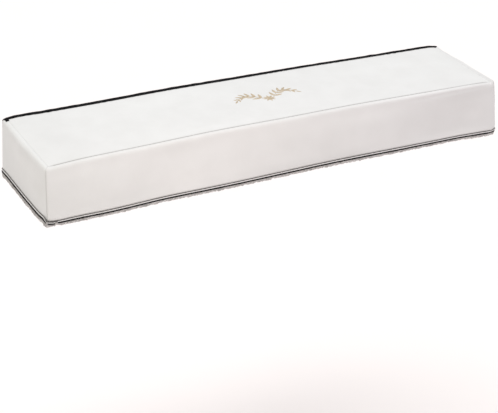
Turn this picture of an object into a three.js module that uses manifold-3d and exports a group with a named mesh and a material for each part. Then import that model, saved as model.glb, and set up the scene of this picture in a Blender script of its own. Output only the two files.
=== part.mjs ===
// A fitted dust cover: a long, low box of soft cloth, closed on five sides and open below.
// A top panel and four hanging panels meet in sewn seams, a black band edges the back of the top,
// and a striped braid with small hanging loops runs all round the hem.
// Units are millimetres. +X runs to the right, +Y to the back and +Z up.
// The origin lies under the middle of the top panel, where the cloth is held up.

import * as THREE from 'three';
import * as BufferGeometryUtils from 'three/addons/utils/BufferGeometryUtils.js';
import Module from 'manifold-3d';

const wasm = await Module();
wasm.setup();

// Plan of the top seam: a rectangle, with its corners turned on a small radius
const SEAM_HALF_LENGTH = 661;
const SEAM_FRONT = -139;
const SEAM_BACK = 136;
const SEAM_CORNER = 4;

// Cloth
const CLOTH = 2;
const SEAM_GAP = 0.3;
const SEAM_DIP = 1.4;
const SEAM_SHOULDER = 3;

// The hanging panels roll over the rim of the top on this radius before they fall, and are
// shaped at these turns of the roll
const ROLL = 11;
const ROLL_DEGREES = [12, 35, 62, 90];
const RIM_LAST = ROLL_DEGREES.length - 1;

// The rolls of the two ends stand up fuller than a round one by these heights in front, and
// lie flat at the back
const END_PUFF = [1.2, 3, 3, 0];

// Heights at which the hanging cloth is shaped, as shares of the fall to the top of the braid
const WALL_SHARES = [0.32, 0.66, 1];

// How far the cloth at the top of the braid stands out past the rim, on each side
const FLARE = { front: 12, back: 5, left: 5, right: 10 };

// The front hem turns in under the panel by this many degrees from upright
const HEM_TUCK = 29;

// How far the left and right ends belly out, at the rim and at the braid, and where along the depth
const LEFT_BELLY = { rim: 4.5, hem: 1.5, y: -10, spread: 115 };
const RIGHT_BELLY = { rim: 5, hem: 4, y: -110, spread: 110 };

// How strongly the folds gather towards the hem
const FOLD_POWER = 1.5;

// Black band along the back of the top: nearly flat, then turned down over the edge
const BAND = 1.6;
const LEDGE_DEPTH = 14;
const LEDGE_DROP = 4;
const LEDGE_BLEND = 25;
const LEDGE_AT_CORNER = 0.3;
const LEDGE_LINE = [
  { out: 2, up: 0 },
  { out: LEDGE_DEPTH - 3.5, up: 0.3 },
  { out: LEDGE_DEPTH - 0.8, up: -1 },
  { out: LEDGE_DEPTH, up: -LEDGE_DROP },
];

// Slot behind the band, where the lip of the back panel stands off. The corners, where the
// way out turns off the back by more than this share, keep out of it.
const SLOT_HALF_LENGTH = 305;
const SLOT_WIDTH = 13.5;
const SLOT_SAG = 8;
const SLOT_RAMP = 45;
const SLOT_FACING = 0.9;
const LIP_SHARES = [1, 0.55, 0.12, 0, 0];

// Braid on the hem: flat behind, with a grey ridge, a light stripe and a black ridge in front
const BRAID_HEIGHT = 17;
const BRAID_THICKNESS = 2.4;
const BRAID_GAP = 0.3;
const BRAID_LAP = 28;
const BRAID_SECTION = [
  { out: 0, up: 0.2 },
  { out: 1.3, up: 0 },
  { out: BRAID_THICKNESS, up: 1.8 },
  { out: BRAID_THICKNESS, up: 5.2 },
  { out: 1.4, up: 6.8 },
  { out: 1.4, up: 12 },
  { out: 2.2, up: 13.4 },
  { out: 2, up: 16 },
  { out: 0.9, up: BRAID_HEIGHT },
  { out: 0, up: BRAID_HEIGHT - 0.2 },
];

// Hanging loops below the braid, as flat tongues rooted inside it
const LOOP_DROP = 9;
const LOOP_WIDTH = 12;
const LOOP_TIP = 6;
const LOOP_THICKNESS = 1;
const LOOP_INSET = 0.15;
const LOOP_ROOT = 2;
const LOOP_PITCH = 16;

// Heights above the lowest loop, from the left end to the right: of the seam at the front
// and at the back of the top, and of the lowest loops at the front and at the back
const STATIONS = [
  { x: -660, frontSeam: 159.5, backSeam: 182.5, frontTips: 2, backTips: 21.5 },
  { x: -635, frontSeam: 161, backSeam: 188.6, frontTips: 0, backTips: 19 },
  { x: -560, frontSeam: 165, backSeam: 188, frontTips: 0, backTips: 16 },
  { x: -400, frontSeam: 168, backSeam: 188.2, frontTips: 4, backTips: 13 },
  { x: -200, frontSeam: 172.5, backSeam: 190.5, frontTips: 6.8, backTips: 13 },
  { x: 0, frontSeam: 172.3, backSeam: 188.8, frontTips: 9, backTips: 14 },
  { x: 220, frontSeam: 173, backSeam: 187.4, frontTips: 11.3, backTips: 13 },
  { x: 400, frontSeam: 170.5, backSeam: 184.6, frontTips: 11.3, backTips: 14 },
  { x: 560, frontSeam: 168, backSeam: 182.6, frontTips: 9.3, backTips: 15 },
  { x: 635, frontSeam: 166.5, backSeam: 181.4, frontTips: 7.5, backTips: 15 },
  { x: 660, frontSeam: 164, backSeam: 177.5, frontTips: 7, backTips: 15 },
];

// Soft folds of the long panels: where they run, how wide, and how far they stand out at the hem
const FRONT_FOLDS = [
  { x: -610, width: 55, out: -2.5 },
  { x: -490, width: 70, out: 2.5 },
  { x: -345, width: 70, out: -2 },
  { x: -150, width: 95, out: 2 },
  { x: 120, width: 100, out: -1.5 },
  { x: 350, width: 90, out: 2 },
  { x: 545, width: 60, out: -2.5 },
];
const BACK_FOLDS = [
  { x: -520, width: 80, out: 2 },
  { x: -300, width: 80, out: -1.5 },
  { x: 60, width: 120, out: 2 },
  { x: 330, width: 80, out: -2 },
  { x: 540, width: 70, out: 1.5 },
];

// Points closer than this are one point
const MERGE_DISTANCE = 1e-4;

// Steps along the panels, and rows across the top
const LONG_STEPS = 26;
const SHORT_STEPS = 8;
const CORNER_STEPS = 3;
const TOP_ROWS = [0, 0.12, 0.35, 0.62, 0.86, 1];

const cloth = () => new THREE.MeshStandardMaterial({ color: 0xefeae4, roughness: 0.9, metalness: 0 });
const blackTape = () => new THREE.MeshStandardMaterial({ color: 0x141414, roughness: 0.8, metalness: 0 });
const braidYarn = () => new THREE.MeshStandardMaterial({ color: 0x77716d, roughness: 0.75, metalness: 0 });

// A smooth curve through one column of a table, read at x
function readTable(rows, column, x) {
  const last = rows.length - 1;
  if (x <= rows[0].x) return rows[0][column];
  if (x >= rows[last].x) return rows[last][column];
  const slope = (i) => {
    const before = rows[Math.max(i - 1, 0)];
    const after = rows[Math.min(i + 1, last)];
    return (after[column] - before[column]) / (after.x - before.x);
  };
  const i = rows.findIndex((row) => row.x > x) - 1;
  const span = rows[i + 1].x - rows[i].x;
  const t = (x - rows[i].x) / span;
  const rise = rows[i + 1][column] - rows[i][column];
  const bend = slope(i) * span;
  const bendEnd = slope(i + 1) * span;
  return rows[i][column] + bend * t
    + (3 * rise - 2 * bend - bendEnd) * t * t
    + (bend + bendEnd - 2 * rise) * t * t * t;
}

const mix = THREE.MathUtils.lerp;
const smooth = THREE.MathUtils.smoothstep;

// Share of the way from the front seam to the back seam
const depthShare = (y) => THREE.MathUtils.clamp((y - SEAM_FRONT) / (SEAM_BACK - SEAM_FRONT), 0, 1);

const seamHeight = (x, y) => mix(
  readTable(STATIONS, 'frontSeam', x), readTable(STATIONS, 'backSeam', x), depthShare(y));

const tipHeight = (x, y) => mix(
  readTable(STATIONS, 'frontTips', x), readTable(STATIONS, 'backTips', x), depthShare(y));

// The slant of the hem and of all that hangs from it, by the way out off the panel:
// what a step up along the cloth there comes to, out and up
function hemSlant(ny) {
  const tuck = THREE.MathUtils.degToRad(HEM_TUCK) * (ny < 0 ? ny ** 2 : 0);
  return { out: Math.sin(tuck), up: Math.cos(tuck) };
}

// How far a long panel's folds push the cloth out at x, at the hem
const foldsAt = (folds, x) => folds.reduce(
  (sum, fold) => sum + fold.out * Math.exp(-(((x - fold.x) / fold.width) ** 2)), 0);

const slotShare = (x) => 1 - smooth(Math.abs(x), SLOT_HALF_LENGTH - SLOT_RAMP, SLOT_HALF_LENGTH);

// A stop on the walk round the seam: its place, the way out (nx, ny) and the way along (tx, ty)
function stopAt(x, y, degrees) {
  const turn = THREE.MathUtils.degToRad(degrees);
  const nx = Math.cos(turn);
  const ny = Math.sin(turn);
  return { x, y, nx, ny, tx: -ny, ty: nx, nudge: 0, dip: 0 };
}

// Half of a corner of the seam's plan, between two headings of the way out
function cornerStops(signX, signY, fromDegrees, toDegrees) {
  const centreX = signX * (SEAM_HALF_LENGTH - SEAM_CORNER);
  const centreY = signY > 0 ? SEAM_BACK - SEAM_CORNER : SEAM_FRONT + SEAM_CORNER;
  return Array.from({ length: CORNER_STEPS + 1 }, (_, i) => {
    const degrees = mix(fromDegrees, toDegrees, i / CORNER_STEPS);
    const turn = THREE.MathUtils.degToRad(degrees);
    const x = centreX + SEAM_CORNER * Math.cos(turn);
    const y = centreY + SEAM_CORNER * Math.sin(turn);
    return stopAt(x, y, degrees);
  });
}

// The stops of one side, from the middle of one corner to the middle of the next, going
// round from above against the clock: front, right, back, left
function sideStops(side) {
  const plan = {
    front: { from: [-1, -1], to: [1, -1], degrees: 270, steps: LONG_STEPS },
    right: { from: [1, -1], to: [1, 1], degrees: 360, steps: SHORT_STEPS },
    back: { from: [1, 1], to: [-1, 1], degrees: 450, steps: LONG_STEPS },
    left: { from: [-1, 1], to: [-1, -1], degrees: 540, steps: SHORT_STEPS },
  }[side];
  const first = cornerStops(...plan.from, plan.degrees - 45, plan.degrees);
  const second = cornerStops(...plan.to, plan.degrees, plan.degrees + 45);
  const start = first[CORNER_STEPS];
  const end = second[0];
  const between = Array.from({ length: plan.steps - 1 }, (_, i) => {
    const share = (i + 1) / plan.steps;
    return stopAt(mix(start.x, end.x, share), mix(start.y, end.y, share), plan.degrees);
  });
  return [...first, ...between, ...second];
}

// The same stops with the first and last drawn back from the corner seam and turned in
function panelStops(side) {
  const stops = sideStops(side);
  const last = stops[stops.length - 1];
  stops[0].nudge = SEAM_GAP / 2;
  stops[0].dip = SEAM_DIP;
  last.nudge = -SEAM_GAP / 2;
  last.dip = SEAM_DIP;
  return stops;
}

// Share of the squared-off ledge of the back, against the round roll of the other sides.
// It is at its full value on the back itself, and less round the corners.
function ledgeShare(stop) {
  const cornerShare = mix(LEDGE_AT_CORNER, 1, stop.ny ** 2);
  return cornerShare * smooth(stop.y, SEAM_BACK - LEDGE_BLEND, SEAM_BACK - SEAM_CORNER);
}

// Outer line of the roll over the rim, as steps out and down from the seam
const ROLL_LINE = ROLL_DEGREES.map((degrees) => {
  const turn = THREE.MathUtils.degToRad(degrees);
  return { out: ROLL * Math.sin(turn), up: ROLL * (Math.cos(turn) - 1) };
});

// Point of the rim's line at a stop, turned in at a corner seam
function rimPoint(stop, index) {
  const share = ledgeShare(stop);
  const roll = ROLL_LINE[index];
  const ledge = LEDGE_LINE[index];
  return {
    out: mix(roll.out, ledge.out, share) - stop.dip * (index / RIM_LAST),
    up: mix(roll.up, ledge.up, share) - stop.dip * (1 - index / RIM_LAST)
      + END_PUFF[index] * stop.nx ** 2 * (1 - depthShare(stop.y)),
  };
}

// How far the hanging cloth stands out past the rim, by the share of its fall
function wallOut(stop, fall) {
  const flare = stop.nx ** 2 * (stop.nx < 0 ? FLARE.left : FLARE.right)
    + stop.ny ** 2 * (stop.ny < 0 ? FLARE.front : FLARE.back);
  const belly = stop.nx < 0 ? LEFT_BELLY : RIGHT_BELLY;
  const bellyShare = stop.nx ** 2 * Math.exp(-(((stop.y - belly.y) / belly.spread) ** 2));
  const folds = foldsAt(stop.ny < 0 ? FRONT_FOLDS : BACK_FOLDS, stop.x) * stop.ny ** 2;
  return flare * fall + bellyShare * mix(belly.rim, belly.hem, fall) + folds * fall ** FOLD_POWER;
}

// A point of a panel from its stop, the distance out and the height
const placed = (stop, out, height) => new THREE.Vector3(
  stop.x + stop.nx * out + stop.tx * stop.nudge,
  stop.y + stop.ny * out + stop.ty * stop.nudge,
  height);

// Outer line of the hanging cloth below the rim at a stop: the rim, the fall to the top of
// the braid, and the hem behind the braid
function wallLine(stop) {
  const rim = rimPoint(stop, RIM_LAST);
  const rimHeight = seamHeight(stop.x, stop.y) + rim.up;
  const slant = hemSlant(stop.ny);
  const braidTop = tipHeight(stop.x, stop.y) + (BRAID_HEIGHT + LOOP_DROP) * slant.up;
  const fall = [0, ...WALL_SHARES].map((share) => ({
    out: rim.out + wallOut(stop, share),
    height: mix(rimHeight, braidTop, share),
  }));
  const last = fall[fall.length - 1];
  const hem = {
    out: last.out - BRAID_HEIGHT * slant.out,
    height: last.height - BRAID_HEIGHT * slant.up,
  };
  return [...fall, hem];
}

// Triangles that close the end of a line doubled back on itself, pair by pair
function doubledCap(count) {
  return Array.from({ length: count / 2 - 1 }, (_, i) => {
    const far = count - 1 - i;
    return [[i, i + 1, far], [i + 1, far - 1, far]];
  }).flat();
}

// Closed solid swept through sections of like points, with flat ends
function loft(sections, cap) {
  const count = sections[0].length;
  const positions = sections.flatMap((section) => section.flatMap((point) => point.toArray()));
  const indices = [];
  for (let i = 0; i + 1 < sections.length; i += 1) {
    for (let j = 0; j < count; j += 1) {
      const a = i * count + j;
      const b = i * count + ((j + 1) % count);
      indices.push(a, b, a + count, b, b + count, a + count);
    }
  }
  const lastRing = (sections.length - 1) * count;
  for (const [a, b, c] of cap) {
    indices.push(a, c, b, lastRing + a, lastRing + b, lastRing + c);
  }
  const geometry = new THREE.BufferGeometry();
  geometry.setAttribute('position', new THREE.Float32BufferAttribute(positions, 3));
  geometry.setIndex(facingOut(positions, indices));
  return geometry;
}

// The triangles as they are, or all turned round where they enclose a negative volume
function facingOut(positions, indices) {
  const corner = (index) => new THREE.Vector3().fromArray(positions, index * 3);
  let volume = 0;
  for (let i = 0; i < indices.length; i += 3) {
    const [a, b, c] = [corner(indices[i]), corner(indices[i + 1]), corner(indices[i + 2])];
    volume += a.dot(b.cross(c));
  }
  return volume > 0 ? indices : [...indices].reverse();
}

// A line of {out, height} points doubled back at a cloth's thickness, as a closed section.
// Its lower end is cut level.
function thickened(line, thickness) {
  const inner = line.map((point, i) => {
    if (i === line.length - 1) return { out: point.out - thickness, height: point.height };
    const before = line[Math.max(i - 1, 0)];
    const after = line[i + 1];
    const along = new THREE.Vector2(after.out - before.out, after.height - before.height).normalize();
    return { out: point.out + along.y * thickness, height: point.height - along.x * thickness };
  });
  return [...line, ...inner.reverse()];
}

// A panel swept along its stops, where lineAt gives the outer line at each stop
function sweptPanel(stops, lineAt, thickness) {
  const lines = stops.map((stop) => thickened(lineAt(stop), thickness));
  const sections = lines.map((line, i) => line.map((point) => placed(stops[i], point.out, point.height)));
  return loft(sections, doubledCap(sections[0].length));
}

// Outer line of a front or end panel: turned in at the top seam, over the rim and down to the hem
function hangingLine(stop) {
  const seam = seamHeight(stop.x, stop.y);
  const rim = ROLL_LINE.slice(0, RIM_LAST).map((_, index) => {
    const point = rimPoint(stop, index);
    return { out: point.out + wallOut(stop, 0) * (index / RIM_LAST), height: seam + point.up };
  });
  return [{ out: 0, height: seam - SEAM_DIP - stop.dip }, ...rim, ...wallLine(stop)];
}

// Outer line of the back panel, whose lip stands off behind the slot
function backLine(stop) {
  const share = slotShare(stop.x) * (stop.ny > SLOT_FACING ? 1 : 0);
  return wallLine(stop).map((point, i) => ({
    out: point.out + share * SLOT_WIDTH * LIP_SHARES[i],
    height: point.height - (i === 0 ? SEAM_GAP + share * SLOT_SAG : 0),
  }));
}

// Outer line of the black band on top of the back edge
function bandLine(stop) {
  const seam = seamHeight(stop.x, stop.y);
  const rim = LEDGE_LINE.map((_, index) => {
    const point = rimPoint(stop, index);
    return { out: point.out, height: seam + point.up };
  });
  return [{ out: 0, height: seam - SEAM_DIP - stop.dip }, ...rim];
}

// The top panel, swept from end to end and turned down a little all round at the seam
function topPanel() {
  const halfLength = SEAM_HALF_LENGTH - SEAM_GAP;
  const shoulder = halfLength - SEAM_SHOULDER;
  const inner = shoulder - SEAM_CORNER;
  const between = Array.from({ length: LONG_STEPS + 1 }, (_, i) => mix(-inner, inner, i / LONG_STEPS));
  const columns = [-halfLength, -shoulder, ...between, shoulder, halfLength];
  const sections = columns.map((x) => {
    const fromEnd = halfLength - Math.abs(x);
    const cutCorner = Math.max(SEAM_CORNER - fromEnd, 0);
    const front = SEAM_FRONT + SEAM_GAP + cutCorner;
    const back = SEAM_BACK - SEAM_GAP - cutCorner;
    const middle = TOP_ROWS.map((share) => mix(front + SEAM_SHOULDER, back - SEAM_SHOULDER, share));
    const endDip = SEAM_DIP * (1 - smooth(fromEnd, 0, SEAM_SHOULDER));
    const upper = [front, ...middle, back].map((y, i, all) => {
      const atSeam = i === 0 || i === all.length - 1;
      return new THREE.Vector3(x, y, seamHeight(x, y) - (atSeam ? SEAM_DIP : endDip));
    });
    const under = upper.map((point) => point.clone().setZ(point.z - CLOTH));
    return [...upper, ...under.reverse()];
  });
  return loft(sections, doubledCap(sections[0].length));
}

// Stops of the braid: once round from the front left corner, then lapped over its own start
function braidStops() {
  const round = ['front', 'right', 'back', 'left'].flatMap((side, i) => {
    const stops = sideStops(side);
    return i === 0 ? stops : stops.slice(1);
  });
  const lapStops = sideStops('front').filter((stop) => stop.x < -SEAM_HALF_LENGTH + BRAID_LAP);
  const lapEnd = stopAt(-SEAM_HALF_LENGTH + BRAID_LAP, SEAM_FRONT, 270);
  const lap = [...lapStops, lapEnd].slice(1).map((stop) => ({ ...stop, lifted: 1 }));
  const liftOver = round.length - CORNER_STEPS - 1;
  round.forEach((stop, i) => {
    stop.lifted = i >= liftOver ? (i - liftOver) / CORNER_STEPS : 0;
  });
  return [...round.slice(CORNER_STEPS), ...lap];
}

// Place on the braid: some way up the cloth from the hem, and out from the cloth
function onHem(stop, up, out) {
  const line = wallLine(stop);
  const hem = line[line.length - 1];
  const slant = hemSlant(stop.ny);
  const off = BRAID_GAP + stop.lifted * (BRAID_THICKNESS + BRAID_GAP) + out;
  return placed(
    stop,
    hem.out + slant.out * up + slant.up * off,
    hem.height + slant.up * up - slant.out * off);
}

function asManifold(geometry) {
  const bare = geometry.clone();
  bare.deleteAttribute('normal');
  bare.deleteAttribute('uv');
  const merged = BufferGeometryUtils.mergeVertices(bare, MERGE_DISTANCE);
  return new wasm.Manifold(new wasm.Mesh({
    numProp: 3,
    vertProperties: new Float32Array(merged.attributes.position.array),
    triVerts: new Uint32Array(merged.index.array),
  }));
}

function fromManifold(solid) {
  const mesh = solid.getMesh();
  const geometry = new THREE.BufferGeometry();
  geometry.setAttribute('position', new THREE.BufferAttribute(mesh.vertProperties, 3));
  geometry.setIndex(new THREE.BufferAttribute(mesh.triVerts, 1));
  return geometry;
}

// One hanging loop as a flat tongue with four sides, its root inside the braid
function loopTongue() {
  const shape = new THREE.Shape([
    new THREE.Vector2(-LOOP_WIDTH / 2, LOOP_ROOT),
    new THREE.Vector2(-LOOP_TIP / 2, -LOOP_DROP),
    new THREE.Vector2(LOOP_TIP / 2, -LOOP_DROP),
    new THREE.Vector2(LOOP_WIDTH / 2, LOOP_ROOT),
  ]);
  return new THREE.ExtrudeGeometry(shape, { depth: LOOP_THICKNESS, bevelEnabled: false });
}

// The line along the hem from which the loops hang, inside the braid's thickness
function loopPath(stops) {
  const roots = stops.map((stop) => onHem(stop, 0, LOOP_INSET));
  const path = new THREE.CurvePath();
  roots.slice(1).forEach((root, i) => path.add(new THREE.LineCurve3(roots[i], root)));
  return path;
}

// The braid all round the hem, with its loops evenly spaced along it
function hemBraid() {
  const stops = braidStops();
  const sections = stops.map((stop) => BRAID_SECTION.map((point) => onHem(stop, point.up, point.out)));
  const outline = BRAID_SECTION.map((point) => new THREE.Vector2(point.out, point.up));
  let braid = asManifold(loft(sections, THREE.ShapeUtils.triangulateShape(outline, [])));

  const path = loopPath(stops);
  const length = path.getLength();
  const steps = Math.floor((length - LOOP_WIDTH) / LOOP_PITCH);
  const margin = (length - steps * LOOP_PITCH) / 2;
  const tongue = loopTongue();
  const upright = new THREE.Vector3(0, 0, 1);
  for (let i = 0; i <= steps; i += 1) {
    const share = (margin + i * LOOP_PITCH) / length;
    const along = path.getTangentAt(share).setZ(0).normalize();
    const level = new THREE.Vector3().crossVectors(along, upright);
    const slant = hemSlant(level.y);
    const up = level.clone().multiplyScalar(slant.out).addScaledVector(upright, slant.up);
    const out = new THREE.Vector3().crossVectors(along, up);
    const placing = new THREE.Matrix4().makeBasis(along, up, out);
    placing.setPosition(path.getPointAt(share));
    braid = braid.add(asManifold(tongue.clone().applyMatrix4(placing)));
  }
  return fromManifold(braid);
}

function addMesh(group, name, geometry, material) {
  const mesh = new THREE.Mesh(geometry, material);
  mesh.name = name;
  group.add(mesh);
}

const cover = new THREE.Group();
cover.position.z = CLOTH - seamHeight(0, 0);

addMesh(cover, 'top_panel', topPanel(), cloth());
addMesh(cover, 'front_panel', sweptPanel(panelStops('front'), hangingLine, CLOTH), cloth());
addMesh(cover, 'right_end_panel', sweptPanel(panelStops('right'), hangingLine, CLOTH), cloth());
addMesh(cover, 'back_panel', sweptPanel(panelStops('back'), backLine, CLOTH), cloth());
addMesh(cover, 'left_end_panel', sweptPanel(panelStops('left'), hangingLine, CLOTH), cloth());
addMesh(cover, 'back_band', sweptPanel(panelStops('back'), bandLine, BAND), blackTape());
addMesh(cover, 'hem_braid', hemBraid(), braidYarn());

export default cover;
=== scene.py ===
"""A fitted dust cover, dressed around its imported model.

Five cloth panels are sewn into a long low box that is open below. A black band lies along the back
of the top, a striped braid with hanging loops runs round the hem, and a leaf spray is embroidered
on the top. Units are metres: +X runs to the right, +Y to the back and +Z up.
"""

import logging
import math
from collections.abc import Callable
from dataclasses import dataclass
from enum import Enum
from typing import Any

import bpy
import numpy as np
from mathutils import Matrix, Vector


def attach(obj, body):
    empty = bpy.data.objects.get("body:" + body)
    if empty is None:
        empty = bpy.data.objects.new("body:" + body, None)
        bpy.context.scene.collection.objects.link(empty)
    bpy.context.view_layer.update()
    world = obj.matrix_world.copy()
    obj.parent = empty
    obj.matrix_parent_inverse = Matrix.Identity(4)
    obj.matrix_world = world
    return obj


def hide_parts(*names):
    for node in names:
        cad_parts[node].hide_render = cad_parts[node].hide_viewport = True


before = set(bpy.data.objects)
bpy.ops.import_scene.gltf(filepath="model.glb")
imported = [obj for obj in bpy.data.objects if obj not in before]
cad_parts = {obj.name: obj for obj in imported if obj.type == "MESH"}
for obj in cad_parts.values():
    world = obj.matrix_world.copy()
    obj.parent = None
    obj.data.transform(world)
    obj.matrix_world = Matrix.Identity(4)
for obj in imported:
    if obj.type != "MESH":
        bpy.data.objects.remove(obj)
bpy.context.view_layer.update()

Array = np.ndarray
Piece = bpy.types.Object
Floats = tuple[float, ...]
Pair = tuple[float, float]
Triple = tuple[float, float, float]

LOG = logging.getLogger("dust_cover")
BODY = "root"
CORNER_SQUARENESS = 0.95
# Name of the vertex attribute that holds painted shade in seams and creases, and painted highlights where it
# is below zero
PAINTED_SHADING_NAME = "painted_shade_and_light"


def smooth_curve(stations: Any, values: Any, at: Any) -> Array:
    """Reads a smooth curve through a table, level beyond its ends.

    Args:
        stations: Where the table has its values, rising.
        values: The value at each station.
        at: The places to read.

    Returns:
        The curve's value at each place.
    """
    stations, values = np.asarray(stations, float), np.asarray(values, float)
    order = np.arange(len(stations))
    before, after = np.maximum(order - 1, 0), np.minimum(order + 1, len(stations) - 1)
    slopes = (values[after] - values[before]) / (stations[after] - stations[before])
    at = np.clip(at, stations[0], stations[-1])
    i = np.clip(np.searchsorted(stations, at, side="right") - 1, 0, len(stations) - 2)
    span = stations[i + 1] - stations[i]
    t = (at - stations[i]) / span
    rise = values[i + 1] - values[i]
    bend, bend_end = slopes[i] * span, slopes[i + 1] * span
    square, cube = 3 * rise - 2 * bend - bend_end, bend + bend_end - 2 * rise
    return values[i] + bend * t + square * t**2 + cube * t**3


def ease(low: float, high: float, at: Any) -> Array:
    """Returns a smooth step from 0 at low to 1 at high, read at `at`."""
    t = np.clip((np.asarray(at, float) - low) / (high - low), 0, 1)
    return t * t * (3 - 2 * t)


def mix(a: Any, b: Any, share: Any) -> Any:
    """Returns the value a share of the way from a to b."""
    return a + (b - a) * share


def bell(away: Any, width: float) -> Array:
    """Returns a smooth hump that is 1 where `away` is 0 and fades over a width."""
    return np.exp(-((away / width) ** 2))


def summed(steps: Array) -> Array:
    """Returns the way gone at each place, from 0 at the first, by the steps between the places."""
    return np.concatenate([np.zeros((*steps.shape[:-1], 1)), np.cumsum(steps, axis=-1)], axis=-1)


def path_lengths(points: Array) -> Array:
    """Returns how far along a path each of its points is."""
    return summed(np.linalg.norm(np.diff(points, axis=0), axis=1))


def side_by_side(*tables: Array) -> Array:
    """Joins tables that have one row for each place along the seam."""
    return np.concatenate(tables, axis=1)


class Side(Enum):
    """A side of the cover, by the heading of its way out and the corners it runs between."""

    FRONT = (270, (-1, -1), (1, -1))
    RIGHT = (360, (1, -1), (1, 1))
    BACK = (450, (1, 1), (-1, 1))
    LEFT = (540, (-1, 1), (-1, -1))


@dataclass(frozen=True)
class Walk:
    """Places along the seam, one a row, with the way out (nx, ny) from each."""

    x: Array
    y: Array
    heading: Array
    along: Array
    turned: Array
    straight: Array

    @property
    def nx(self) -> Array:
        """The way out, to the right."""
        return np.cos(self.heading)

    @property
    def ny(self) -> Array:
        """The way out, to the back."""
        return np.sin(self.heading)

    def placed(self, out: Array, height: Array, nudge: Array) -> Array:
        """Places points on the cover.

        Args:
            out: How far out from the seam each point is.
            height: How high it is.
            nudge: How far along the seam it is moved.

        Returns:
            Points, one row of the array for each place of the walk.
        """
        out = out * (1 + CORNER_SQUARENESS * (1 / np.maximum(np.abs(self.nx), np.abs(self.ny)) - 1))
        x = self.x + self.nx * out - self.ny * nudge
        y = self.y + self.ny * out + self.nx * nudge
        return np.stack([x, y, height + np.zeros_like(x)], axis=-1)


@dataclass(frozen=True)
class Belly:
    """How far an end stands out at its rim and at its hem, and where along the depth."""

    rim: float
    hem: float
    y: float
    spread: float


@dataclass(frozen=True)
class Fold:
    """A soft upright fold of a long panel: its place, its width and how far out it is at the hem."""

    x: float
    width: float
    out: float


@dataclass(frozen=True)
class Crease:
    """A soft crease in a panel, from one place to another, as (along, down) from the seam."""

    start: Pair
    end: Pair
    width: float
    out: float
    left_at_ends: float = 0.35

    def at(self, along: Array, down: Array) -> Array:
        """Reads the crease.

        Args:
            along: How far along the panel.
            down: How far down the cloth from the seam.

        Returns:
            How far the cloth stands out there.
        """
        step = np.subtract(self.end, self.start)
        first, second = along - self.start[0], down - self.start[1]
        t = np.clip((first * step[0] + second * step[1]) / (step @ step), 0, 1)
        away = np.hypot(first - t * step[0], second - t * step[1])
        return self.out * bell(away, self.width) * mix(self.left_at_ends, 1, np.sin(math.pi * t) ** 2)


@dataclass(frozen=True)
class Tone:
    """A soft place of painted shade on the cloth, painted highlight where the strength is below zero: where
    it is, how far it spreads and its strength.
    """

    place: Pair
    spread: Pair
    strength: float

    def at(self, along: Array, down: Array) -> Array:
        """Returns how much painted shade there is at a place along and down it, with painted highlight below
        zero.
        """
        first = bell(along - self.place[0], self.spread[0])
        return self.strength * first * bell(down - self.place[1], self.spread[1])


@dataclass(frozen=True)
class Ripples:
    """Uneven soft waves of cloth, summed from seeded cosines."""

    seed: int
    shortest: float
    longest: float
    height: float
    spread: float = math.pi
    count: int = 11

    def at(self, along: Array, down: Array) -> Array:
        """Reads the waves.

        Args:
            along: How far along the panel.
            down: How far down or across it.

        Returns:
            The height of the cloth there.
        """
        dice = np.random.default_rng(self.seed)
        total = 0.0
        for _ in range(self.count):
            length = math.exp(dice.uniform(math.log(self.shortest), math.log(self.longest)))
            way = dice.uniform(-0.5, 0.5) * self.spread
            phase = dice.uniform(0, math.tau)
            across = along * math.cos(way) + down * math.sin(way)
            total = total + np.cos(math.tau / length * across + phase)
        return self.height * total / math.sqrt(self.count)


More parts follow.
